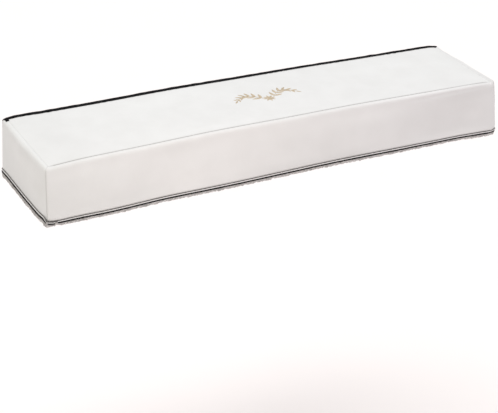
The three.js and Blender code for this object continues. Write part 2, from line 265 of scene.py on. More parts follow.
@dataclass(frozen=True)
class CoverForm:
    """The sizes and hanging lines of the whole cover."""

    # Seam of the top: a rectangle with rounded corners
    half_length: float = 0.661
    front: float = -0.139
    back: float = 0.136
    corner: float = 0.004
    # Height of the origin above the level of the lowest loops
    datum: float = 0.17864
    # Roll over the rim, and the squared ledge of the back at turns of the roll
    roll: float = 0.011
    rim_turns: Floats = (0, 0.133, 0.389, 0.689, 1)
    ledge_out: Floats = (0, 0.002, 0.0105, 0.0132, 0.014)
    ledge_up: Floats = (0, 0, 0.0003, -0.001, -0.004)
    ledge_blend: float = 0.025
    ledge_at_corner: float = 0.3
    # How far the rim of the two ends stands up at the same turns
    end_puff: Floats = (0, 0.0012, 0.003, 0.003, 0)
    puff_right: float = 3.0
    puff_facing: Pair = (0.2, 0.8)
    puff_turn: Pair = (-0.1, 0.5)
    swell: float = 0.2
    swell_y: float = 0.010
    swell_spread: float = 0.035
    # How far each side stands out at the top of the braid, and how the front hem turns in
    flare_front: float = 0.012
    flare_back: float = 0.005
    flare_left: float = 0.0037
    flare_right: float = 0.0025
    hem_tuck: float = math.radians(29)
    # How far the two ends belly out
    left_belly: Belly = Belly(0.0045, 0.0015, -0.010, 0.115)
    right_belly: Belly = Belly(-0.0008, -0.0002, -0.110, 0.110)
    # Raised back left corner
    ear: float = 0.0032
    ear_spread: Pair = (0.015, 0.022)
    # Drawn-in front left corner, where the braid's ends are sewn down
    corner_reach: float = 0.024
    corner_draw: float = 0.003
    corner_slide: float = 0.0015
    slide_fall: float = 0.17
    # How strongly the folds gather towards the hem
    fold_power: float = 1.5
    # Braid, and the loops below it
    braid_height: float = 0.017
    loop_drop: float = 0.009
    # Stations from the left end to the right, with the heights there above the level of the lowest
    # loops: of the seam in front and behind, and of the tips of the loops in front and behind
    station_x: Floats = (
        -0.660, -0.635, -0.560, -0.400, -0.200, 0, 0.220, 0.400, 0.560, 0.635, 0.660,
    )
    seam_front: Floats = (
        0.1595, 0.1610, 0.1650, 0.1680, 0.1725, 0.1723, 0.1730, 0.1705, 0.1680, 0.1665, 0.1640,
    )
    seam_back: Floats = (
        0.1825, 0.1879, 0.1878, 0.1882, 0.1905, 0.1888, 0.1874, 0.1846, 0.1826, 0.1814, 0.1775,
    )
    tips_front: Floats = (
        0.0002, -0.0015, 0.0004, 0.0038, 0.0068, 0.0090, 0.0113, 0.0113, 0.0093, 0.0075, 0.0070,
    )
    tips_back: Floats = (
        0.0215, 0.0190, 0.0160, 0.0130, 0.0130, 0.0140, 0.0130, 0.0140, 0.0150, 0.0150, 0.0150,
    )
    # Soft folds of the long panels
    front_folds: tuple[Fold, ...] = (
        Fold(-0.610, 0.055, -0.0025),
        Fold(-0.490, 0.070, 0.0025),
        Fold(-0.345, 0.070, -0.0020),
        Fold(-0.150, 0.095, 0.0020),
        Fold(0.120, 0.100, -0.0015),
        Fold(0.350, 0.090, 0.0020),
        Fold(0.545, 0.060, -0.0025),
    )
    back_folds: tuple[Fold, ...] = (
        Fold(-0.520, 0.080, 0.0020),
        Fold(-0.300, 0.080, -0.0015),
        Fold(0.060, 0.120, 0.0020),
        Fold(0.330, 0.080, -0.0020),
        Fold(0.540, 0.070, 0.0015),
    )

    def depth_share(self, y: Array) -> Array:
        """Returns the share of the way from the front seam to the back seam."""
        return np.clip((y - self.front) / (self.back - self.front), 0, 1)

    def carried(self, front: Floats, back: Floats, x: Array, y: Array) -> Array:
        """Reads a height that is known along the front and along the back.

        Args:
            front: The height above the level of the lowest loops at each station along the front.
            back: The same along the back.
            x: Where to read it.
            y: Where to read it.

        Returns:
            The height there, in the cover's own frame.
        """
        near = smooth_curve(self.station_x, front, x)
        far = smooth_curve(self.station_x, back, x)
        return mix(near, far, self.depth_share(y)) - self.datum

    def seam_height(self, x: Array, y: Array) -> Array:
        """Returns the height of the top at its seam, carried across, with the raised back corner."""
        near_corner = bell(x + self.half_length, self.ear_spread[0]) * bell(y - self.back, self.ear_spread[1])
        return self.carried(self.seam_front, self.seam_back, x, y) + self.ear * near_corner

    def tip_height(self, x: Array, y: Array) -> Array:
        """Returns the height of the lowest loops."""
        return self.carried(self.tips_front, self.tips_back, x, y)

    def hem_slant(self, walk: Walk) -> tuple[Array, Array]:
        """Returns what a step up the hem comes to, out and up. The front hem turns in."""
        tuck = self.hem_tuck * np.where(walk.ny < 0, walk.ny**2, 0)
        return np.sin(tuck), np.cos(tuck)

    def walk(self, side: Side, step: float, corner_steps: int = 7) -> Walk:
        """Walks a side, from the middle of one corner to the middle of the next.

        Args:
            side: The side to walk.
            step: The length of a step on the straight.
            corner_steps: How many steps half a corner takes.

        Returns:
            The places of the walk.
        """
        degrees, first, second = side.value
        bends = []
        for (right, behind), low in ((first, degrees - 45), (second, degrees)):
            heading = np.radians(np.linspace(low, low + 45, corner_steps + 1))
            middle = self.back - self.corner if behind > 0 else self.front + self.corner
            x = right * (self.half_length - self.corner) + self.corner * np.cos(heading)
            y = middle + self.corner * np.sin(heading)
            bends.append(np.stack([x, y, heading], axis=1))
        start, end = bends[0][-1], bends[1][0]
        run = float(np.hypot(*(end - start)[:2]))
        shares = np.linspace(0, 1, max(round(run / step), 1) + 1)[1:-1, None]
        places = np.concatenate([bends[0], start + (end - start) * shares, bends[1]])
        along = summed(np.hypot(*np.diff(places[:, :2], axis=0).T))
        bend = math.pi / 4 * self.corner
        from_end = np.minimum(along, along[-1] - along)
        turned = np.minimum(places[:, 2] - places[0, 2], places[-1, 2] - places[:, 2])
        turned = np.where(from_end > bend, math.pi / 4, turned)
        straight = np.maximum(from_end - bend, 0)
        return Walk(*(column[:, None] for column in (*places.T, along, turned, straight)))

    def from_corner(self, walk: Walk, out: Array) -> Array:
        """Returns how far round the cloth the nearest corner seam is."""
        return walk.turned * (self.corner + out) + walk.straight

    def ledge_share(self, walk: Walk) -> Array:
        """Returns how far the rim is squared off into the ledge of the back."""
        level = mix(self.ledge_at_corner, 1, walk.ny**2)
        return level * ease(self.back - self.ledge_blend, self.back - self.corner, walk.y)

    def rim(self, walk: Walk, turn: Any) -> tuple[Array, Array]:
        """Reads the line over the rim.

        Args:
            walk: The places along the seam.
            turn: The share of the turn over the rim, 0 at the seam and 1 where the cloth hangs.

        Returns:
            The steps out and up from the seam.
        """
        angle = np.asarray(turn) * math.pi / 2
        share = self.ledge_share(walk)
        ledge_out = smooth_curve(self.rim_turns, self.ledge_out, turn)
        ledge_up = smooth_curve(self.rim_turns, self.ledge_up, turn)
        out = mix(self.roll * np.sin(angle), ledge_out, share)
        up = mix(self.roll * (np.cos(angle) - 1), ledge_up, share)
        return out, up + self.puff(walk, turn)

    def puff(self, walk: Walk, turn: Any) -> Array:
        """Works out how far the rim of the two ends stands up, most of all near the front.

        Args:
            walk: The places along the seam.
            turn: The share of the turn over the rim.

        Returns:
            How far up the cloth stands there.
        """
        right = self.puff_right * ease(*self.puff_facing, walk.nx) * ease(*self.puff_turn, turn)
        size = np.where(walk.nx > 0, right, walk.nx**2)
        swell = self.swell * bell(walk.y - self.swell_y, self.swell_spread) * (walk.nx > 0)
        level = 1 - self.depth_share(walk.y) + swell
        return smooth_curve(self.rim_turns, self.end_puff, turn) * size * level

    def wall_out(self, walk: Walk, fall: Any) -> Array:
        """Works out how far the hanging cloth stands out past the rim.

        Args:
            walk: The places along the seam.
            fall: The share of the way down to the braid.

        Returns:
            How far out the cloth is there.
        """
        flare = walk.nx**2 * np.where(walk.nx < 0, self.flare_left, self.flare_right)
        flare = flare + walk.ny**2 * np.where(walk.ny < 0, self.flare_front, self.flare_back)
        out = flare * fall
        for belly, here in ((self.left_belly, walk.nx < 0), (self.right_belly, walk.nx >= 0)):
            share = here * walk.nx**2 * bell(walk.y - belly.y, belly.spread)
            out = out + share * mix(belly.rim, belly.hem, fall)
        for folds, here in ((self.front_folds, walk.ny < 0), (self.back_folds, walk.ny >= 0)):
            total = sum(fold.out * bell(walk.x - fold.x, fold.width) for fold in folds)
            out = out + here * walk.ny**2 * total * np.asarray(fall) ** self.fold_power
        return out - self.corner_draw * self.front_left(walk) * fall

    def front_left(self, walk: Walk) -> Array:
        """Returns how near the front left corner a place is, where the braid's ends are sewn down."""
        return bell(np.hypot(walk.x + self.half_length, walk.y - self.front), self.corner_reach)

    def braid_top(self, walk: Walk) -> tuple[Array, Array]:
        """Works out where the cloth is at the top of the braid.

        Args:
            walk: The places along the seam.

        Returns:
            How far out it is there and how high.
        """
        _, slant_up = self.hem_slant(walk)
        height = self.tip_height(walk.x, walk.y) + (self.braid_height + self.loop_drop) * slant_up
        return self.rim(walk, 1.0)[0] + self.wall_out(walk, 1.0), height


FORM = CoverForm()


# Making meshes


@dataclass
class Skin:
    """A sheet's surface as a grid: its points, their places on the flat cloth, and the painted shade at each,
    with painted highlights below zero.
    """

    points: Array
    cut: Array
    painted_shading: Array

    def build(self, name: str) -> Piece:
        """Builds the skin as a piece.

        Args:
            name: The piece's name.

        Returns:
            The piece, with an attribute that holds each vertex's painted shade and painted highlights.
        """
        piece = placed_grid(name, self.points, self.cut)
        # The painted shade goes on each vertex as an attribute that the cloth's material reads
        held = placed_grid("held", np.repeat(self.painted_shading[..., None], 3, axis=2), self.cut)
        attribute = piece.data.attributes.new(PAINTED_SHADING_NAME, "FLOAT", "POINT")
        attribute.data.foreach_set("value", vertices_of(held)[:, 0].astype(np.float32))
        bpy.data.meshes.remove(held.data)
        return piece


def placed_grid(name: str, points: Array, cut: Array) -> Piece:
    """Adds a grid and moves its vertices onto a surface.

    Args:
        name: The piece's name.
        points: Where the vertices go, as (columns, rows, 3). Columns by rows turn the face outwards.
        cut: Where they lie on the flat cloth, as (columns, rows, 2), for the UV map.

    Returns:
        The piece.
    """
    columns, rows = points.shape[:2]
    bpy.ops.object.select_all(action="DESELECT")
    bpy.ops.mesh.primitive_grid_add(x_subdivisions=columns - 1, y_subdivisions=rows - 1, size=2)
    piece = bpy.context.object
    piece.name = piece.data.name = name
    mesh = piece.data
    flat = vertices_of(piece)
    column = np.rint((flat[:, 0] + 1) / 2 * (columns - 1)).astype(int)
    row = np.rint((flat[:, 1] + 1) / 2 * (rows - 1)).astype(int)
    mesh.vertices.foreach_set("co", points[column, row].ravel())
    corner = np.empty(len(mesh.loops), int)
    mesh.loops.foreach_get("vertex_index", corner)
    mesh.uv_layers.active.data.foreach_set("uv", cut[column, row][corner].ravel())
    mesh.update()
    bpy.ops.object.shade_smooth()
    return piece


def shaped(name: str, add: Callable[..., Any], place: Matrix, **settings: Any) -> Piece:
    """Adds a primitive and gives it its size and place within its own mesh.

    Args:
        name: The piece's name.
        add: The operator that adds the primitive.
        place: Its size, turn and place.
        **settings: The operator's settings by name.

    Returns:
        The piece, shaded smooth.
    """
    bpy.ops.object.select_all(action="DESELECT")
    add(**settings)
    piece = bpy.context.object
    piece.name = piece.data.name = name
    piece.data.transform(place)
    bpy.ops.object.shade_smooth()
    return piece


def ball(name: str, segments: int, rings: int, place: Matrix) -> Piece:
    """Adds a small ball of so many segments and rings, stretched and put in its place."""
    add = bpy.ops.mesh.primitive_uv_sphere_add
    return shaped(name, add, place, segments=segments, ring_count=rings, radius=1)


def select_only(*pieces: Piece) -> None:
    """Selects pieces and nothing else, and makes the first of them active.

    Args:
        *pieces: The pieces.
    """
    bpy.ops.object.select_all(action="DESELECT")
    for piece in pieces:
        piece.select_set(True)
    bpy.context.view_layer.objects.active = pieces[0]


def apply_modifier(piece: Piece, kind: str, **settings: Any) -> None:
    """Adds a modifier to a piece with its settings, and applies it.

    Args:
        piece: The piece.
        kind: The modifier's type.
        **settings: Its settings by name.
    """
    select_only(piece)
    modifier = piece.modifiers.new(kind.lower(), kind)
    for key, value in settings.items():
        setattr(modifier, key, value)
    bpy.ops.object.modifier_apply(modifier=modifier.name)


def merge_doubles(piece: Piece, distance: float = 1e-6) -> None:
    """Merges a piece's coincident vertices and turns its faces outwards.

    Args:
        piece: The piece.
        distance: How far apart two vertices may be and still be one.
    """
    select_only(piece)
    bpy.ops.object.mode_set(mode="EDIT")
    bpy.ops.mesh.select_all(action="SELECT")
    bpy.ops.mesh.remove_doubles(threshold=distance)
    bpy.ops.mesh.normals_make_consistent(inside=False)
    bpy.ops.object.mode_set(mode="OBJECT")


def joined(name: str, pieces: list[Piece]) -> Piece:
    """Joins pieces into one.

    Args:
        name: The name of what they become.
        pieces: The pieces.

    Returns:
        The one piece.
    """
    select_only(*pieces)
    if len(pieces) > 1:
        bpy.ops.object.join()
    pieces[0].name = pieces[0].data.name = name
    return pieces[0]


def repeated(piece: Piece, pitch: float, count: int) -> Piece:
    """Copies a piece along X at an even pitch, as one mesh, and returns it."""
    apply_modifier(
        piece,
        "ARRAY",
        count=count,
        use_relative_offset=False,
        use_constant_offset=True,
        constant_offset_displace=(pitch, 0, 0),
    )
    return piece


def vertices_of(piece: Piece) -> Array:
    """Reads a piece's vertices.

    Args:
        piece: The piece.

    Returns:
        Their places, one a row.
    """
    flat = np.empty(len(piece.data.vertices) * 3)
    piece.data.vertices.foreach_get("co", flat)
    return flat.reshape(-1, 3)


def move_vertices(piece: Piece, points: Array) -> None:
    """Puts a piece's vertices at new points."""
    piece.data.vertices.foreach_set("co", points.ravel())
    piece.data.update()


def yarn(name: str, path: Array, radius: float, sides: int) -> Piece:
    """Makes a round yarn along a path, from a grid rolled into a tube.

    Args:
        name: The yarn's name.
        path: The points it follows, as (n, 3).
        radius: Its radius.
        sides: How many sides it has.

    Returns:
        The yarn, open at both ends.
    """
    along = np.gradient(path, axis=0)
    along /= np.linalg.norm(along, axis=1, keepdims=True)
    side = np.cross(along, np.broadcast_to((0.0, 0.0, 1.0), path.shape))
    side /= np.linalg.norm(side, axis=1, keepdims=True)
    up = np.cross(side, along)
    turn = np.linspace(0, math.tau, sides + 1)[None, :, None]
    points = path[:, None] + radius * (np.cos(turn) * side[:, None] + np.sin(turn) * up[:, None])
    cut = np.stack(np.broadcast_arrays(path_lengths(path)[:, None], turn[:, :, 0] * radius), axis=-1)
    piece = placed_grid(name, points, cut)
    merge_doubles(piece)
    return piece


@dataclass(frozen=True)
class StitchRow:
    """A straight row of stitches along X, from one stitch."""

    pitch: float
    length: float
    thickness: float = 0.0003
    faces: tuple[int, int] = (4, 4)

    def build(self, name: str, reach: float) -> Piece:
        """Builds the row.

        Args:
            name: The row's name.
            reach: How long the row is.

        Returns:
            The row.
        """
        size = Matrix.Diagonal((self.thickness, self.thickness, self.length / 2, 1))
        place = Matrix.Translation((self.pitch / 2, 0, 0)) @ Matrix.Rotation(math.pi / 2, 4, "Y") @ size
        return repeated(ball(name, *self.faces, place), self.pitch, int(reach / self.pitch))


# Finishes


class Bench:
    """Adds and joins the nodes of one tree."""

    def __init__(self, tree: bpy.types.NodeTree) -> None:
        """Starts on a tree."""
        self.tree = tree

    def add(self, kind: str, inputs: dict[Any, Any] | None = None, **settings: Any) -> bpy.types.Node:
        """Adds a node.

        Args:
            kind: The node's type.
            inputs: Values or sockets for its inputs, by name or number.
            **settings: Its properties by name.

        Returns:
            The node.
        """
        node = self.tree.nodes.new(kind)
        for key, value in settings.items():
            setattr(node, key, value)
        for key, value in (inputs or {}).items():
            if isinstance(value, bpy.types.NodeSocket):
                self.tree.links.new(value, node.inputs[key])
            else:
                node.inputs[key].default_value = value
        return node

    def math(self, operation: str, a: Any, b: Any = 0.0) -> bpy.types.NodeSocket:
        """Adds a Math node for an operation on one or two values, and returns its result."""
        return self.add("ShaderNodeMath", {0: a, 1: b}, operation=operation).outputs[0]

    def times(self, a: Any, b: Any) -> bpy.types.NodeSocket:
        """Multiplies two values."""
        return self.math("MULTIPLY", a, b)

    def plus(self, a: Any, b: Any) -> bpy.types.NodeSocket:
        """Adds two values."""
        return self.math("ADD", a, b)

    def blend(self, share: Any, a: Any, b: Any) -> bpy.types.NodeSocket:
        """Adds a node that mixes two colours by a share, and returns its result."""
        return self.add("ShaderNodeMix", {0: share, 6: a, 7: b}, data_type="RGBA").outputs[2]

    def noise(
        self, place: Any, scale: Any, detail: float, roughness: float = 0.5, distortion: float = 0.0
    ) -> bpy.types.NodeSocket:
        """Adds a noise texture.

        Args:
            place: Where it is read.
            scale: How fine it is.
            detail: How many finer layers it has.
            roughness: How strong those are.
            distortion: How far it is warped.

        Returns:
            Its value.
        """
        inputs = {"Vector": place, "Scale": scale, "Detail": detail}
        inputs |= {"Roughness": roughness, "Distortion": distortion}
        return self.add("ShaderNodeTexNoise", inputs).outputs["Fac"]

    def put_out(self, result: bpy.types.Node, height: Any, tone: Any) -> bpy.types.NodeTree:
        """Ends an effect with its height and its tone.

        Args:
            result: The effect's output node.
            height: The value of its relief.
            tone: The value of its tone.

        Returns:
            The effect's node group.
        """
        self.tree.links.new(height, result.inputs["Height"])
        self.tree.links.new(tone, result.inputs["Tone"])
        return self.tree


def effect(name: str, inputs: tuple[str, ...]) -> tuple[Bench, Any, Any]:
    """Starts a shader node group for a surface effect, which puts out a height and a tone.

    Args:
        name: The effect's name.
        inputs: Its number inputs. A vector input comes first on every effect.

    Returns:
        The bench to build it on, the sockets of its inputs and its output node.
    """
    group = bpy.data.node_groups.new(name, "ShaderNodeTree")
    group.interface.new_socket(name="Vector", in_out="INPUT", socket_type="NodeSocketVector")
    for socket in inputs:
        group.interface.new_socket(name=socket, in_out="INPUT", socket_type="NodeSocketFloat")
    for socket in ("Height", "Tone"):
        group.interface.new_socket(name=socket, in_out="OUTPUT", socket_type="NodeSocketFloat")
    bench = Bench(group)
    return bench, bench.add("NodeGroupInput").outputs, bench.add("NodeGroupOutput")


def short_nap() -> bpy.types.NodeTree:
    """Builds the effect of a brushed nap: fine fibres, soft smudges and broad uneven tone.

    Returns:
        The effect's node group.
    """
    bench, given, result = effect("short_nap", ("Fibres", "Patches"))
    smudge_size, fine_share = 0.11, 0.6
    fibre = bench.noise(given["Vector"], given["Fibres"], 3.0, roughness=0.65)
    smudge = bench.noise(given["Vector"], bench.times(given["Fibres"], smudge_size), 2.0, distortion=0.8)
    patch = bench.noise(given["Vector"], given["Patches"], 3.0)
    height = bench.plus(bench.times(fibre, fine_share), bench.times(smudge, 1 - fine_share))
    return bench.put_out(result, height, patch)


def plain_weave() -> bpy.types.NodeTree:
    """Builds the effect of a plain weave, as rows of threads that go over and under each other.

    Returns:
        The effect's node group.
    """
    bench, given, result = effect("plain_weave", ("Warp", "Weft"))
    crossing_depth, slub_size = 0.5, 0.3
    split = bench.add("ShaderNodeSeparateXYZ", {0: given["Vector"]}).outputs
    warp, weft = (
        bench.math("SINE", bench.times(bench.times(split[axis], given[threads]), math.tau))
        for axis, threads in ((0, "Warp"), (1, "Weft"))
    )
    crossing = bench.times(bench.times(warp, weft), crossing_depth)
    slub = bench.noise(given["Vector"], bench.times(given["Warp"], slub_size), 2.0)
    return bench.put_out(result, bench.plus(crossing, slub), slub)


def yarn_twist() -> bpy.types.NodeTree:
    """Builds the effect of twisted yarn, as slanting plies with loose fibres between them.

    Returns:
        The effect's node group.
    """
    bench, given, result = effect("yarn_twist", ("Twists", "Slant"))
    fuzz_size, ply_share = 2.3, 0.7
    split = bench.add("ShaderNodeSeparateXYZ", {0: given["Vector"]}).outputs
    turns = bench.times(bench.plus(split[0], bench.times(split[1], given["Slant"])), given["Twists"])
    ply = bench.math("ABSOLUTE", bench.math("SINE", bench.times(turns, math.pi)))
    fuzz = bench.noise(given["Vector"], bench.times(given["Twists"], fuzz_size), 2.0)
    height = bench.plus(bench.times(ply, ply_share), bench.times(fuzz, 1 - ply_share))
    return bench.put_out(result, height, fuzz)


class Effect(Enum):
    """The surface effects, by the name of the function that builds each."""

    NAP = "short_nap"
    WEAVE = "plain_weave"
    TWIST = "yarn_twist"

    def tree(self) -> bpy.types.NodeTree:
        """Returns the effect's node group, built on its first use."""
        build = {Effect.NAP: short_nap, Effect.WEAVE: plain_weave, Effect.TWIST: yarn_twist}[self]
        return bpy.data.node_groups.get(self.value) or build()


@dataclass(frozen=True)
class ClothFinish:
    """A matt textile finish with one surface effect, on the flat cloth's own UV map in metres."""

    name: str
    colour: Triple
    shade: Triple
    effect: Effect
    scale: Pair
    bump: float
    roughness: Pair = (0.9, 1.0)
    sheen: float = 0.0
    sheen_roughness: float = 0.5
    metallic: float = 0.0
    specular: float = 0.3
    patches: float = 0.35
    patch_scale: float = 7.0
    patch_detail: float = 4.0
    patch_roughness: float = 0.6
    tone_range: Pair = (0.3, 0.7)
    # Colour of the painted shade in seams and creases, and the share of it laid everywhere, so that values
    # below zero paint highlights
    painted_shade_colour: Triple | None = None
    painted_shade_base: float = 0.12

    def material(self) -> bpy.types.Material:
        """Returns the material, built on its first use."""
        return bpy.data.materials.get(self.name) or self.build()

    def build(self) -> bpy.types.Material:
        """Builds the material.

        Returns:
            A material whose colour, roughness and bump come from the surface effect.
        """
        material = bpy.data.materials.new(self.name)
        material.use_nodes = True
        bench = Bench(material.node_tree)
        shader = material.node_tree.nodes["Principled BSDF"]
        shader.inputs["Metallic"].default_value = self.metallic
        shader.inputs["Specular IOR Level"].default_value = self.specular
        shader.inputs["Sheen Weight"].default_value = self.sheen
        shader.inputs["Sheen Roughness"].default_value = self.sheen_roughness
        place = bench.add("ShaderNodeUVMap", uv_map="UVMap")
        made = bench.add("ShaderNodeGroup", node_tree=self.effect.tree())
        bench.tree.links.new(place.outputs["UV"], made.inputs["Vector"])
        for number, value in zip((1, 2), self.scale):
            made.inputs[number].default_value = value
        object_place = bench.add("ShaderNodeTexCoord")
        where = object_place.outputs["Object"]
        patch = bench.noise(where, self.patch_scale, self.patch_detail, self.patch_roughness)
        tone = bench.times(made.outputs["Tone"], 1 - self.patches)
        tone = bench.plus(tone, bench.times(patch, self.patches))
        low, high = self.tone_range
        ramp_inputs = {0: tone, 1: low, 2: high, 3: 0.0, 4: 1.0}
        ramp = bench.add("ShaderNodeMapRange", ramp_inputs, interpolation_type="SMOOTHSTEP")
        colour = bench.blend(ramp.outputs[0], (*self.shade, 1.0), (*self.colour, 1.0))
        # Painted shade and painted highlights, read from the vertex attribute, darken or lighten the colour
        if self.painted_shade_colour:
            painted_shading = bench.add("ShaderNodeAttribute", attribute_name=PAINTED_SHADING_NAME)
            share = bench.plus(painted_shading.outputs["Fac"], self.painted_shade_base)
            colour = bench.blend(share, colour, (*self.painted_shade_colour, 1.0))
        bench.tree.links.new(colour, shader.inputs["Base Color"])
        height, (smooth, rough) = made.outputs["Height"], self.roughness
        roughness = bench.add("ShaderNodeMapRange", {0: height, 3: smooth, 4: rough})
        bench.tree.links.new(roughness.outputs[0], shader.inputs["Roughness"])
        bump = bench.add("ShaderNodeBump", {"Strength": 1.0, "Distance": self.bump, "Height": height})
        bench.tree.links.new(bump.outputs["Normal"], shader.inputs["Normal"])
        return material


# The right side's colours are set lighter, so that the share of painted shade laid everywhere brings them to
# the cloth's own colour; seams and creases get painted shade
COVER_CLOTH = ClothFinish(
    "cover_cloth_right_side", (0.864, 0.865, 0.858), (0.832, 0.832, 0.823), Effect.NAP, (1500, 14), 0.00025,
    sheen=0.12, sheen_roughness=0.6, painted_shade_colour=(0.30, 0.29, 0.28),
)
COVER_BACKING = ClothFinish(
    "cover_cloth_wrong_side", (0.66, 0.65, 0.63), (0.58, 0.57, 0.55), Effect.WEAVE, (900, 900), 0.0003,
)
BLACK_TAPE = ClothFinish(
    "black_tape_ribbed", (0.008, 0.008, 0.009), (0.004, 0.004, 0.005), Effect.WEAVE, (420, 900), 0.0003,
    roughness=(0.8, 0.95), specular=0.1,
)
BLACK_GIMP = ClothFinish(
    "braid_black_gimp", (0.011, 0.008, 0.008), (0.006, 0.004, 0.004), Effect.TWIST, (1800, 1.0), 0.0002,
    roughness=(0.65, 0.85), specular=0.1,
)
GREY_YARN = ClothFinish(
    "braid_grey_yarn", (0.150, 0.143, 0.140), (0.078, 0.074, 0.072), Effect.TWIST, (1400, 1.5), 0.0003,
    roughness=(0.6, 0.9), sheen=0.2,
)
SILVER_YARN = ClothFinish(
    "braid_silver_yarn", (0.97, 0.97, 0.96), (0.90, 0.90, 0.895), Effect.TWIST, (1600, 1.2), 0.0002,
    roughness=(0.25, 0.45), metallic=0.05, specular=0.6,
)
LOOP_YARN = ClothFinish(
    "braid_loop_yarn", (0.80, 0.78, 0.765), (0.58, 0.56, 0.545), Effect.TWIST, (1300, 1.5), 0.0003,
    roughness=(0.5, 0.85), sheen=0.2,
)
GOLD_THREAD = ClothFinish(
    "embroidery_pale_gold", (0.74, 0.62, 0.45), (0.58, 0.47, 0.33), Effect.TWIST, (1700, 0.0), 0.0003,
    roughness=(0.35, 0.6), metallic=0.25, specular=0.5, sheen=0.1,
)
GREY_THREAD = ClothFinish(
    "sewing_thread_grey", (0.58, 0.57, 0.56), (0.46, 0.45, 0.44), Effect.TWIST, (3000, 1.0), 0.0001,
    roughness=(0.5, 0.7),
)
BLACK_THREAD = ClothFinish(
    "sewing_thread_black", (0.03, 0.03, 0.03), (0.015, 0.015, 0.015), Effect.TWIST, (3000, 1.0), 0.0001,
    roughness=(0.5, 0.7),
)


def dress(piece: Piece, *finishes: ClothFinish) -> None:
    """Puts finishes on a piece.

    Args:
        piece: The piece.
        *finishes: One finish for each of its material slots.
    """
    piece.data.materials.clear()
    for finish in finishes:
        piece.data.materials.append(finish.material())


# Cloth panels


@dataclass(frozen=True)
class ClothRows:
    """The rows of a hanging panel's grid, from the seam allowance down to the turned-up hem."""

    allowance: Floats = (0.009, 0.006, 0.003, 0.001)
    rolled: Floats = (
        0, 0.0004, 0.0009, 0.0016, 0.0026, 0.004, 0.0055, 0.007, 0.009, 0.011, 0.013, 0.015, 0.0173,
    )
    fall_count: int = 36
    down: Floats = (0.002, 0.0045, 0.008, 0.012, 0.0155, 0.017)
    turn_radius: float = 0.0017
    turn_steps: int = 5
    turned_up: Floats = (0.003, 0.006, 0.009, 0.012)
    kept_above: int = 6
    kept_below: int = 4
    softenings: int = 4


@dataclass(frozen=True)
class Sewing:
    """How the cloth is sewn."""

    thickness: float = 0.0014
    gap: float = 0.00015
    depth: float = 0.0024
    least_depth: float = 0.12
    shoulder: float = 0.0014
    # How far the painted shade along a seam reaches from its stitches
    mark: float = 0.0013
    end_mark: float = 0.08
    fade_level: float = 0.3
    fade_reach: float = 0.016
    allowance: Floats = (0.007, 0.004, 0.0012)
    droop: float = 2.2
    droop_from: Pair = (-0.035, -0.012)
    puckers: Ripples = Ripples(11, 0.009, 0.019, 0.00022, spread=0.5)
    pucker_reach: float = 0.009

    def fading(self, straight: Array) -> Array:
        """Returns how strongly a seam marks, by the distance from its end."""
        return mix(self.fade_level, 1, ease(0.0, self.fade_reach, straight))

    def groove(self, away: Array) -> Array:
        """Returns how deep the cloth is drawn in, by the distance from the stitches."""
        return self.depth * np.exp(-away / self.shoulder)

    def drawing(self, mark: Any) -> Any:
        """Returns the share of the groove's depth that a seam has, by how strongly it marks."""
        return mix(self.least_depth, 1, mark)

    def painted_shading(self, away: Array) -> Array:
        """Returns the painted shade beside a seam, from 1 at the stitches and fading with the distance from
        them.
        """
        return np.exp(-np.maximum(away, 0) / self.mark)

    def puckered(self, along: Array, away: Array) -> Array:
        """Returns how far the puckers beside a seam stand out, by the distance from it."""
        return self.puckers.at(along, away) * np.exp(-np.abs(away) / self.pucker_reach)


SEWING = Sewing()


